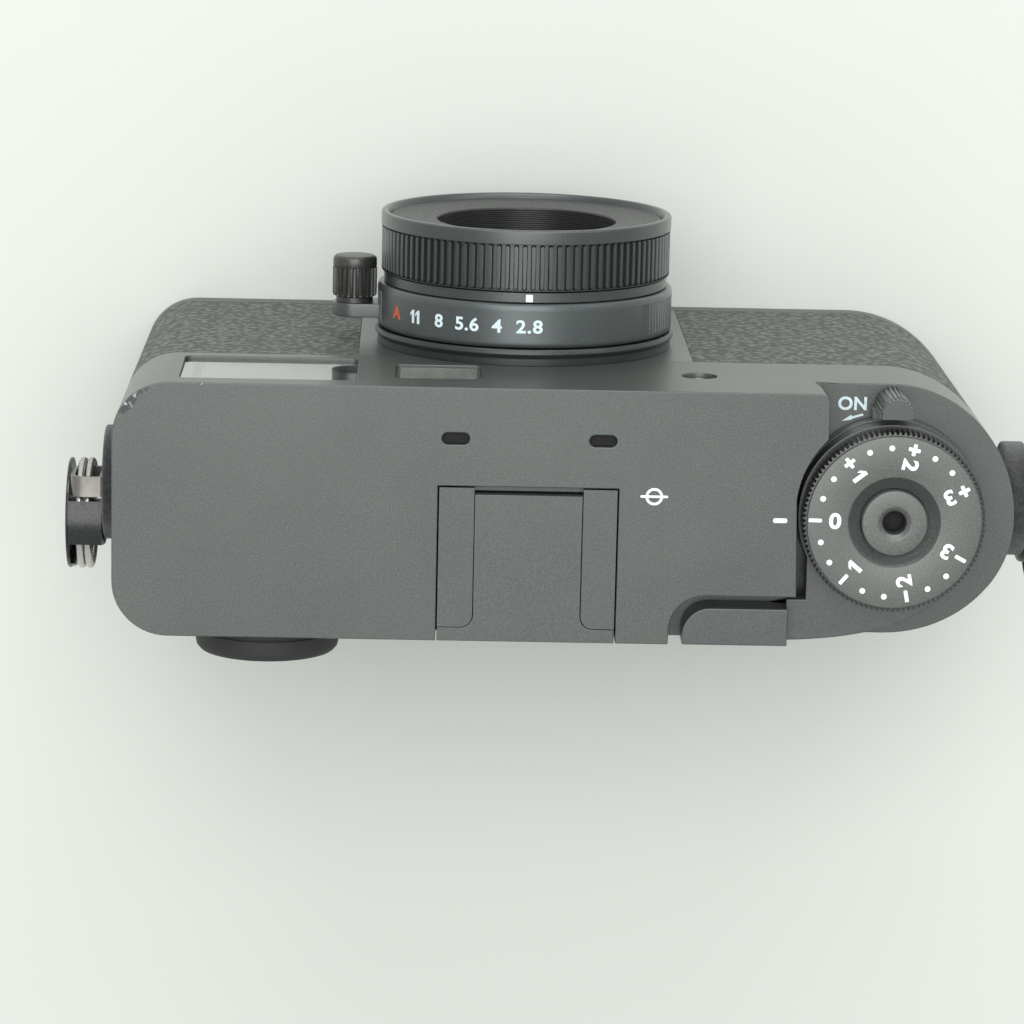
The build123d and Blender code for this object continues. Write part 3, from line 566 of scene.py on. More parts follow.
def step_walls_in_painted_shade(point, normal):
    """Upright faces round the dial's deck and the lever's recess, which get the black material as painted
    shade.
    """
    inside = -46.0 < point.x < -15.0 and FRONT_Y + 0.6 < point.y < REAR_Y - 0.6
    return inside and abs(normal.z) < 0.35


# Matte black on the upright walls of the deck step and the lever recess is painted shade, not a black finish.
second_material(refined("top_cover", TOP_PAINT, 0.14, plain=near_right_boss), MATTE_BLACK, step_walls_in_painted_shade)


def quarter(x, y, radius, side, steps):
    """Round corner of a plan, from (x, y - radius) to (x + side * radius, y)."""
    turns = [radians(90 * k / steps) for k in range(steps + 1)]
    return [(x + side * (radius - radius * cos(t)), y - radius + radius * sin(t)) for t in turns]


def build_shoe():
    """Two rails sunk flush in the top plate, and the cover that fills the shoe."""
    low, high = node_box("accessory_shoe")
    gap, slit, wall = 0.16, 0.09, 1.15
    left, right = high[0] - gap, low[0] + gap
    rail_left, rail_right = 6.13, -6.53
    floor_z, rail_low = low[2] + 1.2, TOP_Z - 1.7
    front, stop_y, rail_end = low[1] + gap, low[1] + 0.8, high[1] - 1.7
    parts = [rounded_box((right, front, low[2]), (left, high[1], floor_z), 0.1, 2),
             rounded_box((right, front, floor_z), (left, stop_y, rail_low), 0.05, 1)]
    for outer, inner, side in ((left, rail_left, 1), (right, rail_right, -1)):
        wall_low, wall_high = sorted((outer, outer - side * wall))
        parts.append(rounded_box((wall_low, stop_y, floor_z), (wall_high, rail_end, rail_low), 0.05, 1))
        outline = [(outer, front), (outer, rail_end)]
        outline += quarter(inner, rail_end, 1.4, side, 8)[::-1]
        outline += [(inner, front)]
        parts.append(slab_of(outline, rail_low, TOP_Z - 0.02, 0.1, 2))
    stand_in("accessory_shoe", "accessory_shoe_rails", merged(*parts), TOP_PAINT)

    low, high = node_box("shoe_cover")
    plate_low, corner, shoulder, rear = TOP_Z - 1.9, 1.5, rail_end + slit, high[1]
    outline = [(rail_left - slit, low[1])]
    outline += quarter(rail_left - slit, shoulder, corner, 1, 9)
    outline += [(left, shoulder), (left, rear), (right, rear), (right, shoulder)]
    outline += quarter(rail_right + slit, shoulder, corner, -1, 9)[::-1]
    outline += [(rail_right + slit, low[1])]
    parts = [slab_of(outline, plate_low, TOP_Z - 0.04, 0.1, 2)]
    for inset, start in ((1.2, low[1]), (0.01, rear - 1.5)):
        parts.append(rounded_box((low[0] + inset, start, low[2]), (high[0] - inset, rear - 0.02, plate_low),
                                 0.08, 1))
    stand_in("shoe_cover", "shoe_cover_plate", merged(*parts), TOP_PAINT, "shoe_cover")


build_shoe()


def build_top_marks():
    """Film plane mark, dial index and the power switch legend."""
    level = TOP_Z - 0.005
    ink_top = level + 0.02
    mark = (-14.7, -2.6)
    ring = turned([(0.72, level), (1.02, level), (1.02, ink_top), (0.72, ink_top)], "Z", mark, 48)
    line = bar(1.6, 0.14, 0.1, level + 0.003, ink_top + 0.003, flat_place(*mark, 0, 0))
    finish_mesh("film_plane_mark", merged(ring, line), WHITE_INK, "root")
    index = bar(0.82, 0.27, 0.22, level, ink_top, flat_place(-29.4, DIAL_Y + 0.2, 0, 0))
    finish_mesh("dial_index", index, WHITE_INK, "root")

    deck = DECK_Z - 0.005
    lettering("power_legend", "ON", 2.15, PALE_INK, "root", flat_place(-38.1, -12.6, deck, 180), 0.03, 0.06,
              1.0)
    shaft = bar(0.95, 0.13, 0.1, deck, deck + 0.03, flat_place(-38.5, -11.03, 0, 17))
    head = bmesh.new()
    corners = ((-38.05, -11.25, deck), (-36.9, -10.5, deck), (-38.05, -10.65, deck))
    raise_faces(head, [head.faces.new([head.verts.new(corner) for corner in corners])], 0.035)
    finish_mesh("power_arrow", merged(shaft, head), PALE_INK, "root")


def build_microphone_grilles():
    """Black floors with rows of small studs, deep in the two slots."""
    floor_z, slot_y, half_w, half_h, pitch = TOP_Z - 0.9, -9.0, 1.6, 0.69, 0.3
    stud = [(0.02, floor_z), (0.1, floor_z), (0.1, floor_z + 0.08), (0.02, floor_z + 0.08)]
    for number, slot_x in enumerate((8.4, -8.64)):
        parts = [rounded_box((slot_x - half_w, slot_y - half_h, floor_z - 0.5),
                             (slot_x + half_w, slot_y + half_h, floor_z), 0.05, 1)]
        for column in range(-4, 5):
            for row in range(-1, 2):
                parts.append(turned(stud, "Z", (slot_x + pitch * column, slot_y + pitch * row), 8))
        finish_mesh(f"microphone_grille_{number}", merged(*parts), MATTE_BLACK, "root")


build_top_marks()
build_microphone_grilles()


# ------------------------------------------------------------------ dial, button, levers
def square_teeth(count, share=0.5):
    """Relief with square grooves: -1 in a groove, 0 on a tooth."""
    def relief(angle, height):
        t = (angle * count / (2 * pi)) % 1.0
        return -1.0 if abs(t - 0.5) * 2 > share else 0.0
    return relief


DIAL_CENTRE = (DIAL_X, DIAL_Y)


def dial_reach(spot):
    """Distance of a point from the dial's axis."""
    return math.hypot(spot.x - DIAL_X, spot.y - DIAL_Y)


def build_dial():
    """Exposure dial: knurled skirt, flat face, sloped dish, white scale."""
    low, high = node_box("exposure_dial")
    bottom, top = low[2], high[2]
    outer = (high[0] - low[0]) / 2
    bore, teeth, cut = 4.13, 108, 0.42
    profile = [(bore, bottom), (bore, top - 1.25), (3.9, top - 1.22), (3.9, top - 1.12), (4.5, top - 0.86),
               (5.0, top - 0.42), (5.3, top - 0.12), (5.38, top - 0.03), (5.5, top), (9.95, top),
               (10.08, top - 0.03), (10.14, top - 0.12), (10.16, top - 0.30), (10.2, top - 0.30),
               (10.5, top - 0.32, 0.2), (outer - 0.02, top - 0.40, cut), (outer, top - 0.5, cut),
               (outer, bottom + 0.5, cut), (outer - 0.1, bottom + 0.3, cut), (10.25, bottom + 0.1),
               (10.1, bottom)]
    body = turned(profile, "Z", DIAL_CENTRE, teeth * 6, square_teeth(teeth, 0.55))
    dial = stand_in("exposure_dial", "exposure_dial_body", body, DIAL_PAINT, "exposure_dial", 30.0)
    second_material(dial, KNURL_PAINT, lambda spot, normal: dial_reach(spot) > 10.12 and spot.z < top - 0.2)

    level, spacing, twist = top - 0.008, 17.01, -0.87
    ink_top = level + 0.02
    marks = []

    def at(angle, radius, z=0.0):
        turn = radians(angle)
        return flat_place(DIAL_X - radius * cos(turn), DIAL_Y - radius * sin(turn), z, angle)

    for step in range(-9, 10):
        angle = 180.0 - spacing * step + twist
        if step % 3:
            marks.append(bar(0.33, 0.33, 0.31, level, ink_top, at(angle, 8.82)))
            continue
        number = str(abs(step) // 3)
        if step == 0:
            name, size, reach = "scale_0", 2.5, 6.9
            marks.append(bar(0.78, 0.22, 0.16, level, ink_top, at(angle, 9.2)))
        else:
            name, size, reach = ("scale_plus_" if step > 0 else "scale_minus_") + number, 2.45, 7.0
            marks.append(bar(0.70, 0.22, 0.12, level, ink_top, at(angle, 8.85)))
        if step > 0:
            marks.append(bar(0.22, 0.70, 0.12, level, ink_top + 0.001, at(angle, 8.85)))
        lettering(name, number, size, WHITE_INK, "exposure_dial", at(angle, reach, level), 0.02, 0.085)
    finish_mesh("dial_dots", merged(*marks), WHITE_INK, "exposure_dial")


build_dial()


def build_button():
    """Shutter button with a threaded cable release hole."""
    low, high = node_box("shutter_button")
    top, radius = high[2], (high[0] - low[0]) / 2
    profile = [(0.001, top - 2.7), (1.25, top - 2.7)]
    pitch = 0.34
    for k in range(6):
        z = top - 2.55 + pitch * k
        profile += [(1.42, z), (1.26, z + pitch / 2)]
    profile += [(1.42, top - 0.45), (1.5, top - 0.38), (1.86, top - 0.05), (1.98, top - 0.005), (2.1, top),
                (radius - 0.3, top), (radius - 0.12, top - 0.04), (radius - 0.03, top - 0.13),
                (radius, top - 0.28),
                (radius, top - 2.8), (radius - 0.1, top - 2.9), (1.5, top - 2.9), (1.5, low[2]),
                (0.001, low[2])]
    cap = stand_in("shutter_button", "shutter_button_cap", turned(profile, "Z", DIAL_CENTRE, 96), DIAL_PAINT,
                   "shutter_button", 30.0)
    second_material(cap, MATTE_BLACK, lambda spot, normal: dial_reach(spot) < 1.45 and spot.z > top - 2.75)
    dress(STEEL, "button_spring")
    dress(MATTE_BLACK, "dial_post")


build_button()


def tab_outline(centre_y, back_y, radius, ribs, groove):
    """Half round with ribs to the front, and straight sides to the back."""
    points = []
    for k in range(ribs * 6 + 1):
        turn = radians(180.0 + 30.0 * k / ribs)
        reach = radius - (groove if 0.25 < (k / 6.0) % 1.0 < 0.75 else 0.0)
        points.append((DIAL_X + reach * cos(turn), centre_y + reach * sin(turn)))
    return points + [(DIAL_X + radius, back_y), (DIAL_X - radius, back_y)]


def build_power_lever():
    """Collar under the dial, with an upright half round tab, ribbed on its outside."""
    low, high = node_box("power_lever")
    foot_low, foot_high, top = low[2], low[2] + 1.9, high[2]
    half, ribs, neck_w = 1.95, 11, 2.3
    tab_y, back_y = DIAL_Y - 14.45 + half, DIAL_Y - 11.92
    neck_front, neck_rear = DIAL_Y - 12.3, DIAL_Y - 10.2
    collar = [(4.85, foot_low), (11.0, foot_low), (11.0, foot_high), (4.85, foot_high)]
    neck = [(DIAL_X - neck_w, neck_rear), (DIAL_X - neck_w, neck_front), (DIAL_X + neck_w, neck_front),
            (DIAL_X + neck_w, neck_rear)]
    parts = (turned(soften(collar, 0.15), "Z", DIAL_CENTRE, 180),
             slab_of(tab_outline(tab_y, back_y, half, ribs, 0.22), foot_low, top - 0.75, 0.0, 1),
             slab_of(tab_outline(tab_y, back_y, half - 0.2, ribs, 0.0), top - 0.8, top, 0.12, 2),
             slab_of(neck, foot_low + 0.02, foot_high - 0.02, 0.12, 2))
    stand_in("power_lever", "power_lever_body", merged(*parts), RING_PAINT, "power_lever", 25.0)


build_power_lever()
refined("frame_lever", DECK_PAINT, 0.16, "frame_lever")


# ------------------------------------------------------------------ lens
LENS_AXIS = (0.0, LENS_Z)
BORE_R = 15.35
SEAT_R = 15.05
SCALE_R = 18.0
INDEX_R = 17.3
FOCUS_R = 17.6


def finger_pads(angle, height):
    """Relief of the aperture ring: two ribbed pads with sloped ends."""
    slope, pitch = 5.0, 2.4
    degrees = math.degrees(angle)
    for centre, half in ((84.0, 33.5), (264.0, 24.0)):
        off = abs((degrees - centre + 180) % 360 - 180)
        if off < half:
            if off > half - slope:
                return -0.9 * (off - half + slope) / slope - 0.1
            return -0.75 if abs((degrees / pitch) % 1.0 - 0.5) > 0.27 else 0.0
    return 0.0


def on_ring(reach, angle, y):
    """Wraps flat coordinates round the lens at an angle from the top, towards the shutter side."""
    def place(u, v, w):
        turn = radians(angle) + u / reach
        return (-(reach + w) * sin(turn), y - v, LENS_Z + (reach + w) * cos(turn))
    return place


def build_aperture_ring():
    """Base flange, the ring with its pads, arm and knob, then the index ring and the printed stops."""
    low, high = node_box("lens_flange")
    back, face = high[1], low[1]
    flange = soften([(SEAT_R, back), (18.0, back), (17.95, back - 0.9), (18.25, back - 1.3),
                     (18.3, back - 1.45),
                     (18.1, face), (SEAT_R, face)], 0.1)
    stand_in("lens_flange", "lens_flange_ring", turned(flange, "Y", LENS_AXIS, 180), FLANGE_PAINT, sharp=30.0)

    knob_low, knob_high = node_box("aperture_knob")
    ring_rear, ring_front, depth = -17.1, -22.4, 0.32
    profile = [(BORE_R, ring_rear), (17.55, ring_rear), (17.8, ring_rear - 0.1), (17.96, ring_rear - 0.32),
               (SCALE_R, ring_rear - 0.5), (SCALE_R, ring_rear - 0.75), (SCALE_R, ring_rear - 0.8, depth),
               (SCALE_R, ring_front + 0.9, depth), (SCALE_R, ring_front + 0.85),
               (SCALE_R, ring_front + 0.5), (17.9, ring_front + 0.2), (17.7, ring_front + 0.03),
               (17.5, ring_front),
               (BORE_R, ring_front)]
    ring = turned(profile, "Y", LENS_AXIS, 1200, finger_pads)
    knob_x = (knob_low[0] + knob_high[0]) / 2
    knob_r = (knob_high[0] - knob_low[0]) / 2
    arm_front = knob_high[1]
    outline = [(17.4, -knob_r + 0.1)] + arc(knob_x, 0, knob_r, -90, 90, 16) + [(17.4, knob_r - 0.1)]
    arm = slab_of(outline, arm_front + 0.02, -18.0, 0.15, 2, 0.15)
    for vert in arm.verts:
        vert.co = (vert.co.x, vert.co.z, vert.co.y + LENS_Z)
    stand_in("aperture_ring", "aperture_ring_body", merged(ring, arm), SCALE_PAINT, "aperture_ring", 30.0)

    front, knurls, groove = knob_low[1], 22, 0.28
    knob = [(0.001, front), (knob_r - 0.75, front), (knob_r - 0.35, front + 0.06),
            (knob_r - 0.1, front + 0.26),
            (knob_r - 0.02, front + 0.55), (knob_r - 0.02, front + 1.25), (knob_r - 0.08, front + 1.42),
            (knob_r, front + 1.5, groove), (knob_r, arm_front - 0.95, groove),
            (knob_r - 0.1, arm_front - 0.75),
            (knob_r - 0.45, arm_front - 0.6), (knob_r - 0.45, arm_front), (0.001, arm_front)]
    knob_mesh = turned(knob, "Y", (knob_x, LENS_Z), knurls * 6, square_teeth(knurls, 0.6))
    stand_in("aperture_knob", "aperture_knob_body", knob_mesh, KNURL_PAINT, "aperture_ring", 30.0)

    low, high = node_box("index_ring")
    index = soften([(SEAT_R, low[1]), (INDEX_R, low[1]), (INDEX_R, high[1]), (SEAT_R, high[1])], 0.08)
    stand_in("index_ring", "index_ring_body", turned(index, "Y", LENS_AXIS, 180), RING_PAINT)
    mark = bar(0.41, 0.44, 0.06, -0.01, 0.015, on_ring(INDEX_R, 0.4, -23.05))
    finish_mesh("lens_index", mark, WHITE_INK, "root")
    for stop, angle in (("A", -60.1), ("11", -48.2), ("8", -35.9), ("5.6", -23.7), ("4", -11.8),
                        ("2.8", 0.6)):
        lettering("stop_" + stop.replace(".", "_"), stop, 2.15, ORANGE_INK if stop == "A" else PALE_INK,
                  "aperture_ring", on_ring(SCALE_R, angle, -19.75), 0.02, 0.055)


def build_focus_ring():
    """Ring of narrow round-ended ribs."""
    low, high = node_box("focus_ring")
    ribs, rib_half, cut = 106, 0.21, 0.42
    pitch = 2 * pi * FOCUS_R / ribs
    rear, front = high[1] - 0.3, low[1] + 0.1

    def pills(angle, height):
        across = ((angle * ribs / (2 * pi)) % 1.0 - 0.5) * pitch
        along = max(0.0, front + rib_half - height, height - (rear - rib_half))
        return -min(1.0, max(0.0, (math.hypot(across, along) - rib_half) / 0.07))

    rows = [front - 0.04]
    rows += [front + rib_half * (1 - cos(radians(15 * k))) for k in range(7)]
    rows += [rear - rib_half * (1 - cos(radians(15 * k))) for k in range(6, -1, -1)]
    rows += [rear + 0.06, rear + 0.12]
    profile = [(BORE_R, high[1]), (17.3, high[1]), (17.5, high[1] - 0.06), (FOCUS_R, high[1] - 0.2),
               (FOCUS_R, rear + 0.16)]
    profile += [(FOCUS_R, y, cut) for y in reversed(rows)]
    profile += [(FOCUS_R - cut, low[1]), (BORE_R, low[1])]
    ring = turned(profile, "Y", LENS_AXIS, ribs * 10, pills)
    stand_in("focus_ring", "focus_ring_body", ring, FOCUS_PAINT, "focus_ring", 30.0)


def build_lens_front():
    """Bezel, the stepped baffle inside it, the front glass, and the hidden parts of the lens."""
    tip = node_box("lens_bezel")[0][1]
    bezel = [(17.2, -29.42), (17.6, -29.42), (17.67, -29.46), (17.7, -29.55), (17.7, tip + 0.3),
             (17.64, tip + 0.14),
             (17.52, tip + 0.04), (17.36, tip), (17.12, tip), (16.98, tip + 0.04), (16.86, tip + 0.16),
             (16.8, tip + 0.3), (16.6, -30.5), (16.5, -30.1), (14.65, -30.1), (14.65, -29.42)]
    stand_in("lens_bezel", "lens_bezel_ring", turned(bezel, "Y", LENS_AXIS, 220), RING_PAINT, sharp=30.0)

    baffle = [(16.48, -30.1), (16.46, -30.5), (16.3, -30.56), (11.15, -30.12), (10.98, -30.08),
              (10.9, -29.96)]
    for k in range(16):
        y = -29.85 + 0.26 * k
        reach = 10.88 - 0.045 * k
        baffle += [(reach, y), (reach + 0.13, y + 0.04), (reach + 0.13, y + 0.15), (reach - 0.03, y + 0.19)]
    baffle += [(10.15, -25.6), (11.5, -25.6), (11.55, -29.45), (14.5, -29.45), (14.5, -30.1)]
    stand_in("name_ring", "name_ring_baffle", turned(baffle, "Y", LENS_AXIS, 200), BLACK_PLASTIC, sharp=30.0)

    low, high = node_box("front_lens")
    rim, bulge = 10.9, 1.15
    dome = [(0.001, high[1]), (rim, high[1])]
    for k in range(13):
        radius = rim * (1 - k / 12)
        dome.append((max(radius, 0.001), low[1] + 0.02 + bulge * (radius / rim) ** 2))
    stand_in("front_lens", "front_glass", turned(dome, "Y", LENS_AXIS, 128), LENS_GLASS, sharp=30.0)
    dress(MATTE_BLACK, "lens_barrel", "iris_unit")
    dress(LENS_GLASS, "rear_lens_group")


build_aperture_ring()
build_focus_ring()
build_lens_front()


# ------------------------------------------------------------------ front strip windows and eyepiece
def middle_xz(low, high):
    """Middle of a box in X and Z."""
    return (low[0] + high[0]) / 2, (low[2] + high[2]) / 2


def build_finder():
    """Finder pane with its dark mask behind it."""
    low, high = node_box("finder_window")
    stand_in("finder_window", "finder_pane", rounded_box((low[0], low[1] + 0.25, low[2]), high, 0.1, 1),
             CLEAR_GLASS)
    x_low, x_high, z_low, z_high = low[0] + 3.4, high[0] - 1.5, low[2] + 1.3, high[2] - 1.3
    y_low, y_high = high[1] + 0.03, high[1] + 0.33
    mask = [rounded_box((a, y_low, c), (b, y_high, d), 0.02, 1) for a, b, c, d in
            ((low[0], x_low, low[2], high[2]), (x_high, high[0], low[2], high[2]),
             (x_low, x_high, low[2], z_low), (x_low, x_high, z_high, high[2]))]
    finish_mesh("finder_mask", merged(*mask), MATTE_BLACK, "root")
    dress(CLEAR_GLASS, "finder_lens", "eyepiece_lens")
    dress(MATTE_BLACK, "finder_tunnel")


def build_flash():
    """Ribbed flash window over a silver bowl with a yellow light source."""
    low, high = node_box("flash_window")
    count, border, gap = 14, 0.5, 0.02
    pitch = (high[2] - low[2] - 2 * border) / count
    parts = [rounded_box((low[0], low[1] + 0.3, low[2]), high, 0.12, 2)]
    for k in range(count):
        z = low[2] + border + pitch * k
        parts.append(rounded_box((low[0] + border, low[1] + 0.1, z + gap),
                                 (high[0] - border, low[1] + 0.45, z + pitch - gap), 0.12, 2))
    flash_glass = glass("flash_glass", (0.86, 0.87, 0.82), 0.08, 0.6, 0.92)
    stand_in("flash_window", "flash_pane", merged(*parts), flash_glass)

    low, high = node_box("flash_module")
    middle, floor_y, half = middle_xz(low, high), high[1] - 0.9, 1.1
    bowl = soften([(0.001, floor_y), (1.2, floor_y), (3.7, low[1] + 0.15), (4.1, low[1] + 0.1),
                   (4.15, high[1]),
                   (0.001, high[1])], 0.1)
    silver = steel("flash_bowl_metal", (0.75, 0.76, 0.72), 0.2)
    stand_in("flash_module", "flash_bowl", turned(bowl, "Y", middle, 64), silver)
    source = rounded_box((middle[0] - half, floor_y - 0.6, middle[1] - half),
                         (middle[0] + half, floor_y + 0.02, middle[1] + half), 0.25, 3)
    finish_mesh("flash_source", source, ink("flash_phosphor", (0.75, 0.72, 0.10), 0.5), "root")


def build_lamp_and_eyepiece():
    """Round lamp lens in the front strip, and the rubber ring round the eyepiece."""
    low, high = node_box("focus_lamp")
    radius, face = (high[0] - low[0]) / 2 - 0.06, low[1]
    lamp = [(0.001, face + 0.12), (radius * 0.5, face + 0.2), (radius * 0.8, face + 0.38),
            (radius - 0.15, face + 0.6), (radius, face + 0.65), (radius, high[1]), (0.001, high[1])]
    lamp_glass = glass("lamp_glass", (0.42, 0.38, 0.33), 0.06, 1.0, 0.5)
    stand_in("focus_lamp", "focus_lamp_lens", turned(lamp, "Y", middle_xz(low, high), 64), lamp_glass,
             sharp=30.0)

    low, high = node_box("eyepiece_ring")
    outer, rear = (high[0] - low[0]) / 2, high[1]
    ring = [(6.0, low[1]), (7.15, low[1]), (7.15, REAR_Y + 0.02), (outer - 0.25, REAR_Y + 0.03),
            (outer - 0.05, REAR_Y + 0.2), (outer, REAR_Y + 0.5), (outer, REAR_Y + 0.9),
            (outer - 0.12, REAR_Y + 1.0), (outer - 0.12, REAR_Y + 1.1), (outer, REAR_Y + 1.2),
            (outer, rear - 1.1),
            (outer - 0.12, rear - 0.55), (outer - 0.5, rear - 0.12), (outer - 1.0, rear),
            (outer - 1.5, rear - 0.08),
            (6.5, rear - 0.7), (6.2, rear - 1.1), (6.02, REAR_Y + 2.3)]
    stand_in("eyepiece_ring", "eyepiece_rubber", turned(ring, "Y", middle_xz(low, high), 128), RUBBER,
             sharp=30.0)


build_finder()
build_flash()
build_lamp_and_eyepiece()


# ------------------------------------------------------------------ body panels, rear and base
refined("front_shell", BODY_PLASTIC, 0.0)
refined("rear_cover", BODY_PLASTIC, 0.18)
refined("bottom_cover", BASE_PAINT, 0.18)
refined("leather_left", LEATHER, 0.12)
refined("leather_right", LEATHER, 0.12)
refined("front_panel", PANEL_PAINT, 0.08)
refined("thumb_grip", RUBBER, 0.25)
refined("battery_door", BODY_PLASTIC, 0.1, "battery_door")
refined("door_latch", BLACK_PLASTIC, 0.1, "door_latch")
refined("port_door", BODY_PLASTIC, 0.1, "port_door")
refined("playback_button", BLACK_PLASTIC, 0.0, "playback_button")
refined("menu_button", BLACK_PLASTIC, 0.0, "menu_button")


def build_screens():
    """Main display with its black border, and the narrow information display."""
    black = Shader("screen_black", (0.004, 0.004, 0.005), 0.06, 0.0, 0.5)
    smudge = black.noise(6.0, 4.0, 0.6)
    black.tint(smudge, 0.8, 1.3)
    black.link(black.remap(smudge, 0.4, 0.75, 0.05, 0.22), "Roughness")
    grey = Shader("screen_cell", (0.012, 0.013, 0.016), 0.2, 0.0, 0.5)
    grey.tint(grey.noise(0.3, 2.0), 0.9, 1.1)
    grey.link(grey.remap(grey.noise(3.0, 3.0), 0.3, 0.7, 0.15, 0.3), "Roughness")
    gap = 0.12
    for node, border in (("display_glass", 2.0), ("info_display_glass", 1.0)):
        low, high = node_box(node)
        pane = rounded_box((low[0] + gap, low[1], low[2] + gap),
                           (high[0] - gap, high[1] - 0.02, high[2] - gap), 0.25, 3)
        stand_in(node, node + "_pane", pane, black.material)
        cell = rounded_box((low[0] + border, high[1] - 0.05, low[2] + border * 1.6),
                           (high[0] - border, high[1] - 0.005, high[2] - border), 0.01, 1)
        finish_mesh(node + "_cell", cell, grey.material, "root")


build_screens()


def build_screws():
    """Four base screws with cross recesses, and the threaded tripod socket."""
    head = [(0.001, 0.55), (0.35, 0.5), (0.42, 0.17), (1.1, 0.15), (1.22, 0.2), (1.25, 0.3), (1.25, 0.8),
            (0.65, 0.8), (0.65, 4.2), (0.001, 4.2)]
    parts = []
    for x, y in ((-13, -11), (-13, 11), (40, -9), (40, 9)):
        parts.append(turned(head, "Z", (x, y), 40))
        parts += [bar(0.62, 0.13, 0.05, 0.14, 0.17, flat_place(x, y, 0, turn)) for turn in (20, 110)]
    stand_in("base_screws", "base_screw_heads", merged(*parts), DARK_STEEL, sharp=30.0)

    low, high = node_box("tripod_socket")
    rim_r, pitch = (high[0] - low[0]) / 2 - 0.02, 1.27
    profile = [(0.001, 5.6), (2.75, 5.6)]
    for k in range(4):
        z = 5.3 - pitch * k
        profile += [(3.17, z - 0.15), (3.17, z - 0.3), (2.7, z - 0.85), (2.7, z - 1.0)]
    profile += [(3.2, 0.25), (3.5, 0.02), (rim_r - 0.18, 0.02), (rim_r, 0.2), (rim_r, high[2]),
                (0.001, high[2])]
    stand_in("tripod_socket", "tripod_socket_insert", turned(profile, "Z", (0, 0), 96), STEEL, sharp=30.0)


build_screws()


def build_inside():
    """Inner pieces, seen only through the openings."""
    board = Shader("circuit_board", (0.02, 0.10, 0.05), 0.4)
    tracks = board.remap(board.cells(1.4, "DISTANCE_TO_EDGE"), 0.04, 0.09)
    base = board.mix(tracks, (0.08, 0.22, 0.10), (0.015, 0.08, 0.04))
    board.link(base, "Base Color")
    board.bump(tracks, 0.03)
    dress(board.material, "main_board", "sensor_board")
    dress(steel("cast_chassis", (0.4, 0.4, 0.4), 0.5), "chassis_plate", "usb_connector")
    dress(BLACK_PLASTIC, "battery", "memory_card", "display_panel", "microphones", "info_display_glass")
    dress(CLEAR_GLASS, "image_sensor")
    dress(STEEL, "door_pins")


build_inside()


# ------------------------------------------------------------------ strap fittings
def tube(path, radius, sides=12):
    """A round wire along a list of points, with flat ends."""
    bm = bmesh.new()
    rings = []
    for i, point in enumerate(path):
        ahead = Vector(path[min(i + 1, len(path) - 1)]) - Vector(path[max(i - 1, 0)])
        ahead.normalize()
        side = Vector((1, 0, 0)).cross(ahead).normalized()
        up = ahead.cross(side).normalized()
        rings.append([bm.verts.new(Vector(point) + side * radius * cos(2 * pi * k / sides)
                                   + up * radius * sin(2 * pi * k / sides)) for k in range(sides)])
    for a, b in zip(rings, rings[1:]):
        for k in range(sides):
            bm.faces.new((a[k], a[(k + 1) % sides], b[(k + 1) % sides], b[k]))
    bm.faces.new(rings[0][::-1])
    bm.faces.new(rings[-1])
    return bm


def strap_lug(side, outer, pivot):
    """Flat steel strip bent into a loop, and the post that holds it."""
    reach, half_h, width, strip, bend = 4.0, 3.6, 2.4, 0.5, 1.87
    root_x, tip_x, middle_x = outer + side * 0.02, outer + side * reach, outer + side * reach / 2
    loop = [(root_x, pivot[2] - half_h), (tip_x, pivot[2] - half_h), (tip_x, pivot[2] + half_h),
            (root_x, pivot[2] + half_h)]
    round_loop = soften(loop, [0.4, bend, bend, 0.4], 8)
    bm = bmesh.new()
    rows = []
    for offset, y in ((0, -width / 2), (0, width / 2), (strip, width / 2), (strip, -width / 2)):
        scale_x, scale_z = (reach / 2 - offset) / (reach / 2), (half_h - offset) / half_h
        rows.append([bm.verts.new((middle_x + (x - middle_x) * scale_x, pivot[1] + y,
                                   pivot[2] + (z - pivot[2]) * scale_z)) for x, z in round_loop])
    count = len(round_loop)
    for a, b in zip(rows, rows[1:] + rows[:1]):
        for k in range(count):
            j = (k + 1) % count
            bm.faces.new((a[k], a[j], b[j], b[k]))
    rims = [e for e in bm.edges
            if abs(e.verts[0].co.y - e.verts[1].co.y) < 1e-6 and e.calc_face_angle(0.0) > 1.0]
    round_edges(bm, rims, 0.12, 2)
    post_r, post_in, post_out = 1.95, outer - side * 2.6, outer + side * 0.1
    post = [(0.001, post_in), (post_r, post_in), (post_r, post_out), (0.001, post_out)]
    return [bm, turned(post, "X", pivot[1:], 40)]


def coiled_ring(side, centre, ring_r, wire):
    """Nearly two turns of wire that step across from one coil to the other halfway."""
    steps, start, sweep, half_step = 220, 215, 700, 0.49
    path = []
    for k in range(steps + 1):
        t = k / steps
        angle = radians(start + sweep * t)
        jog = min(1.0, max(0.0, (t - 0.42) / 0.16))
        shift = side * half_step * (2 * jog * jog * (3 - 2 * jog) - 1)
        path.append((centre[0] + shift, centre[1] + ring_r * sin(angle), centre[2] + ring_r * cos(angle)))
    return tube(path, wire)


def across(side, start, end, outline, edge):
    """A slab with its outline in the YZ plane, from start out to end along X."""
    slab = slab_of(outline, 0.0, abs(end - start), edge, 1)
    for vert in slab.verts:
        vert.co = (start + side * vert.co.z, vert.co.x, vert.co.y)
    bmesh.ops.recalc_face_normals(slab, faces=slab.faces)
    return slab


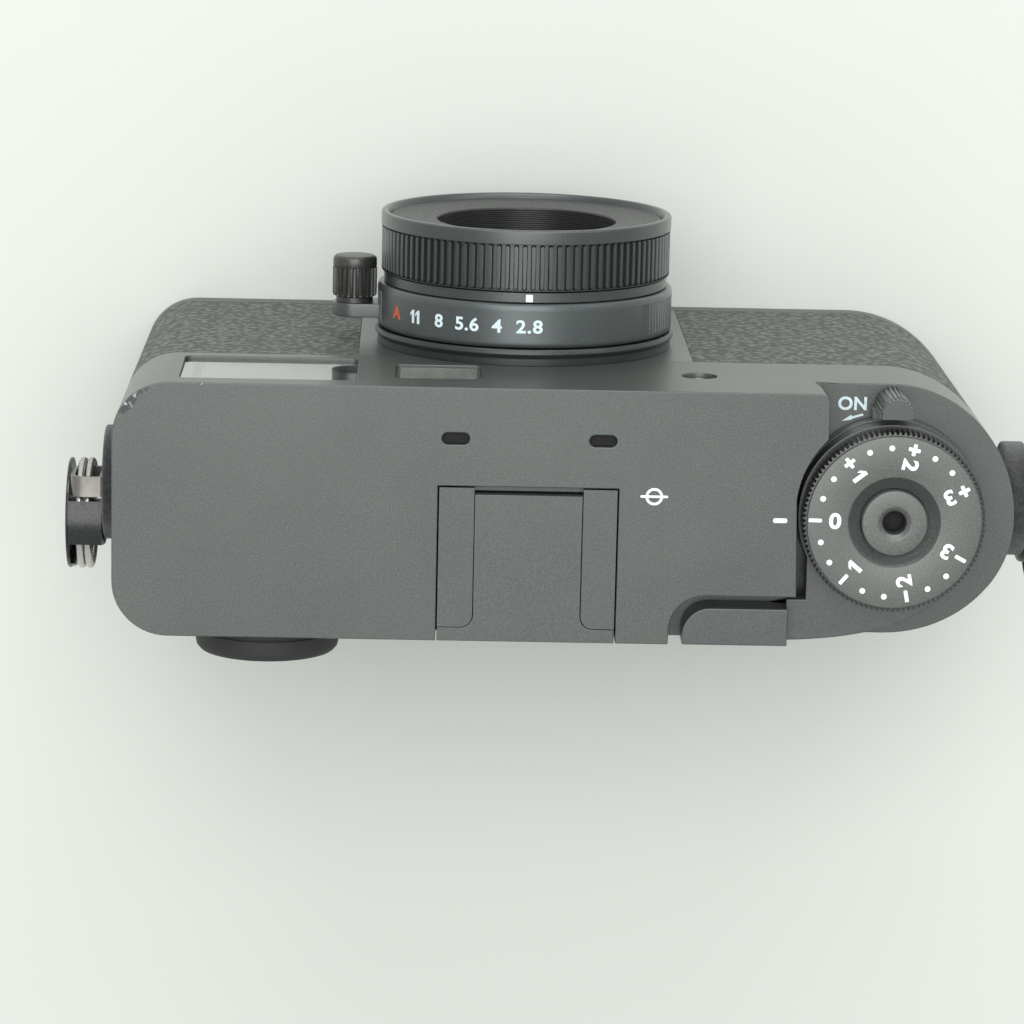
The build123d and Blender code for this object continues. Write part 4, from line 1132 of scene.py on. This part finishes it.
def build_ring_cover(side, name, centre, outer, pivot):
    """Black cover: round plate, hub through the ring, pad behind the plate and a hood over the coils."""
    low, high = node_box("ring_cover_" + name)
    plate_out = high[0] if side > 0 else low[0]
    plate_in, plate_r, y, z = plate_out - side * 0.4, centre[2] - low[2], centre[1], centre[2]
    hub_in, hub_out, hub_r, hub_shift = outer + side * 0.16, plate_in + side * 0.1, 2.85, 1.55
    hang = Vector((y - pivot[1], z - pivot[2])).normalized()
    low_side = math.degrees(math.atan2(hang.y, hang.x))
    plate = [(0.001, plate_in), (plate_r, plate_in), (plate_r, plate_out), (0.001, plate_out)]
    hub = [(0.001, hub_in), (hub_r, hub_in), (hub_r, hub_out), (0.001, hub_out)]
    pad_rim = arc(y, z, plate_r - 0.15, low_side - 62, low_side + 62, 32)
    parts = [turned(soften(plate, [0, 0.08, 0.3, 0], 6), "X", (y, z), 128),
             turned(soften(hub, [0, 0.7, 0.1, 0], 6), "X", (y + hang.x * hub_shift, z + hang.y * hub_shift),
                    96),
             across(-side, plate_in, plate_in - side * 0.53, pad_rim, 0.1)]
    hood_r, hood_start, hood_end = 7.3, 70, 112
    for inner_r, start, end in ((6.8, hub_in, plate_out - side * 0.22),
                                (6.2, plate_in + side * 0.02, plate_out - side * 0.2)):
        outline = arc(y, z, hood_r, hood_start, hood_end, 14) + arc(y, z, inner_r, hood_end, hood_start, 14)
        parts.append(across(side, start, end, outline, 0.04))
    stand_in("ring_cover_" + name, f"ring_cover_{name}_shell", merged(*parts), COVER_PLASTIC,
             f"strap_ring_{name}")


def build_straps():
    """Felt disc, flat strip lug, coiled split ring and its black cover, on both ends."""
    discs_low, discs_high = node_box("felt_discs")
    disc_r, bore_r, wire = (discs_high[2] - discs_low[2]) / 2, 2.05, 0.47
    lugs = []
    felts = []
    for side, name in ((1, "left"), (-1, "right")):
        pivot = joint_place(f"strap_ring_{name}_swing")
        outer = discs_high[0] if side > 0 else discs_low[0]
        inner = outer - side * (1.79 if side > 0 else 2.69)
        disc = [(bore_r, inner), (disc_r, inner), (disc_r, outer), (bore_r, outer)]
        felts.append(turned(soften(disc, 0.35, 4), "X", pivot[1:], 180))
        lugs += strap_lug(side, outer, pivot)
        low, high = node_box("split_ring_" + name)
        centre = [(l + h) / 2 for l, h in zip(low, high)]
        coil = coiled_ring(side, centre, (high[2] - low[2]) / 2 - wire, wire)
        stand_in("split_ring_" + name, f"split_ring_{name}_coil", coil, STEEL, f"strap_ring_{name}", 40.0)
        build_ring_cover(side, name, centre, outer, pivot)
    stand_in("felt_discs", "felt_pads", merged(*felts), FELT, sharp=40.0)
    lug_steel = steel("lug_steel", (0.26, 0.25, 0.23), 0.35)
    stand_in("strap_lugs", "strap_lug_loops", merged(*lugs), lug_steel, sharp=40.0)


build_straps()


# ------------------------------------------------------------------ stage, light and camera
def softbox(name, place, target, size, power):
    """Rectangular area light aimed at a point."""
    lamp = bpy.data.lights.new(name, "AREA")
    lamp.shape = "RECTANGLE"
    lamp.size, lamp.size_y = size
    lamp.energy = power
    holder = bpy.data.objects.new(name, lamp)
    holder.location = place
    holder.rotation_mode = "QUATERNION"
    holder.rotation_quaternion = (Vector(target) - Vector(place)).to_track_quat("-Z", "Y")
    bpy.context.collection.objects.link(holder)


def build_table():
    """Pale table top that the camera stands on."""
    mesh = bpy.data.meshes.new("floor")
    bm = bmesh.new()
    half = 3.0
    corners = ((-half, -half), (half, -half), (half, half), (-half, half))
    bm.faces.new([bm.verts.new((x, y, 0.0)) for x, y in corners])
    bm.to_mesh(mesh)
    bm.free()
    floor = bpy.data.objects.new("floor", mesh)
    bpy.context.collection.objects.link(floor)
    table = Shader("table_top", (0.582, 0.604, 0.570), 0.7)
    table.tint(table.noise(30.0, 2.0), 0.99, 1.01)
    mesh.materials.append(table.material)


def build_lights():
    """Even pale surroundings and three soft boxes. Lengths here are in metres."""
    world = bpy.data.worlds.new("studio")
    bpy.context.scene.world = world
    world.use_nodes = True
    surroundings = world.node_tree.nodes["Background"]
    surroundings.inputs["Color"].default_value = (0.93, 0.95, 0.93, 1.0)
    surroundings.inputs["Strength"].default_value = 0.80
    softbox("overhead_box", (0.1, -0.34, 1.5), (0, 0, 0.05), (1.2, 1.25), 16.0)
    softbox("front_low_box", (0.0, -1.3, 0.6), (0, 0, 0.03), (1.4, 0.6), 12.0)
    softbox("right_front_box", (-1.0, -0.8, 0.7), (0, 0, 0.04), (0.8, 0.6), 2.0)


def build_camera():
    """Long lens that looks down on the top plate, slightly from the front."""
    pitch, yaw, roll = radians(11.872), radians(-1.366), radians(1.321)
    back = Vector((-sin(yaw) * cos(pitch), -sin(pitch), cos(yaw) * cos(pitch)))
    level = Vector((-cos(yaw), 0.0, -sin(yaw)))
    up = back.cross(level)
    right = cos(roll) * level + sin(roll) * up
    top = cos(roll) * up - sin(roll) * level
    camera = bpy.data.objects.new("camera", bpy.data.cameras.new("camera"))
    bpy.context.collection.objects.link(camera)
    bpy.context.scene.camera = camera
    camera.data.lens = 144.0
    camera.data.sensor_width = 36.0
    camera.data.clip_start = 0.05
    turn = Matrix((right, top, back)).transposed().to_4x4()
    camera.matrix_world = Matrix.Translation((0.0128, -0.09806, 0.52683)) @ turn


build_table()
build_lights()
build_camera()
bpy.context.scene.view_settings.view_transform = "Standard"
bpy.context.scene.view_settings.look = "None"
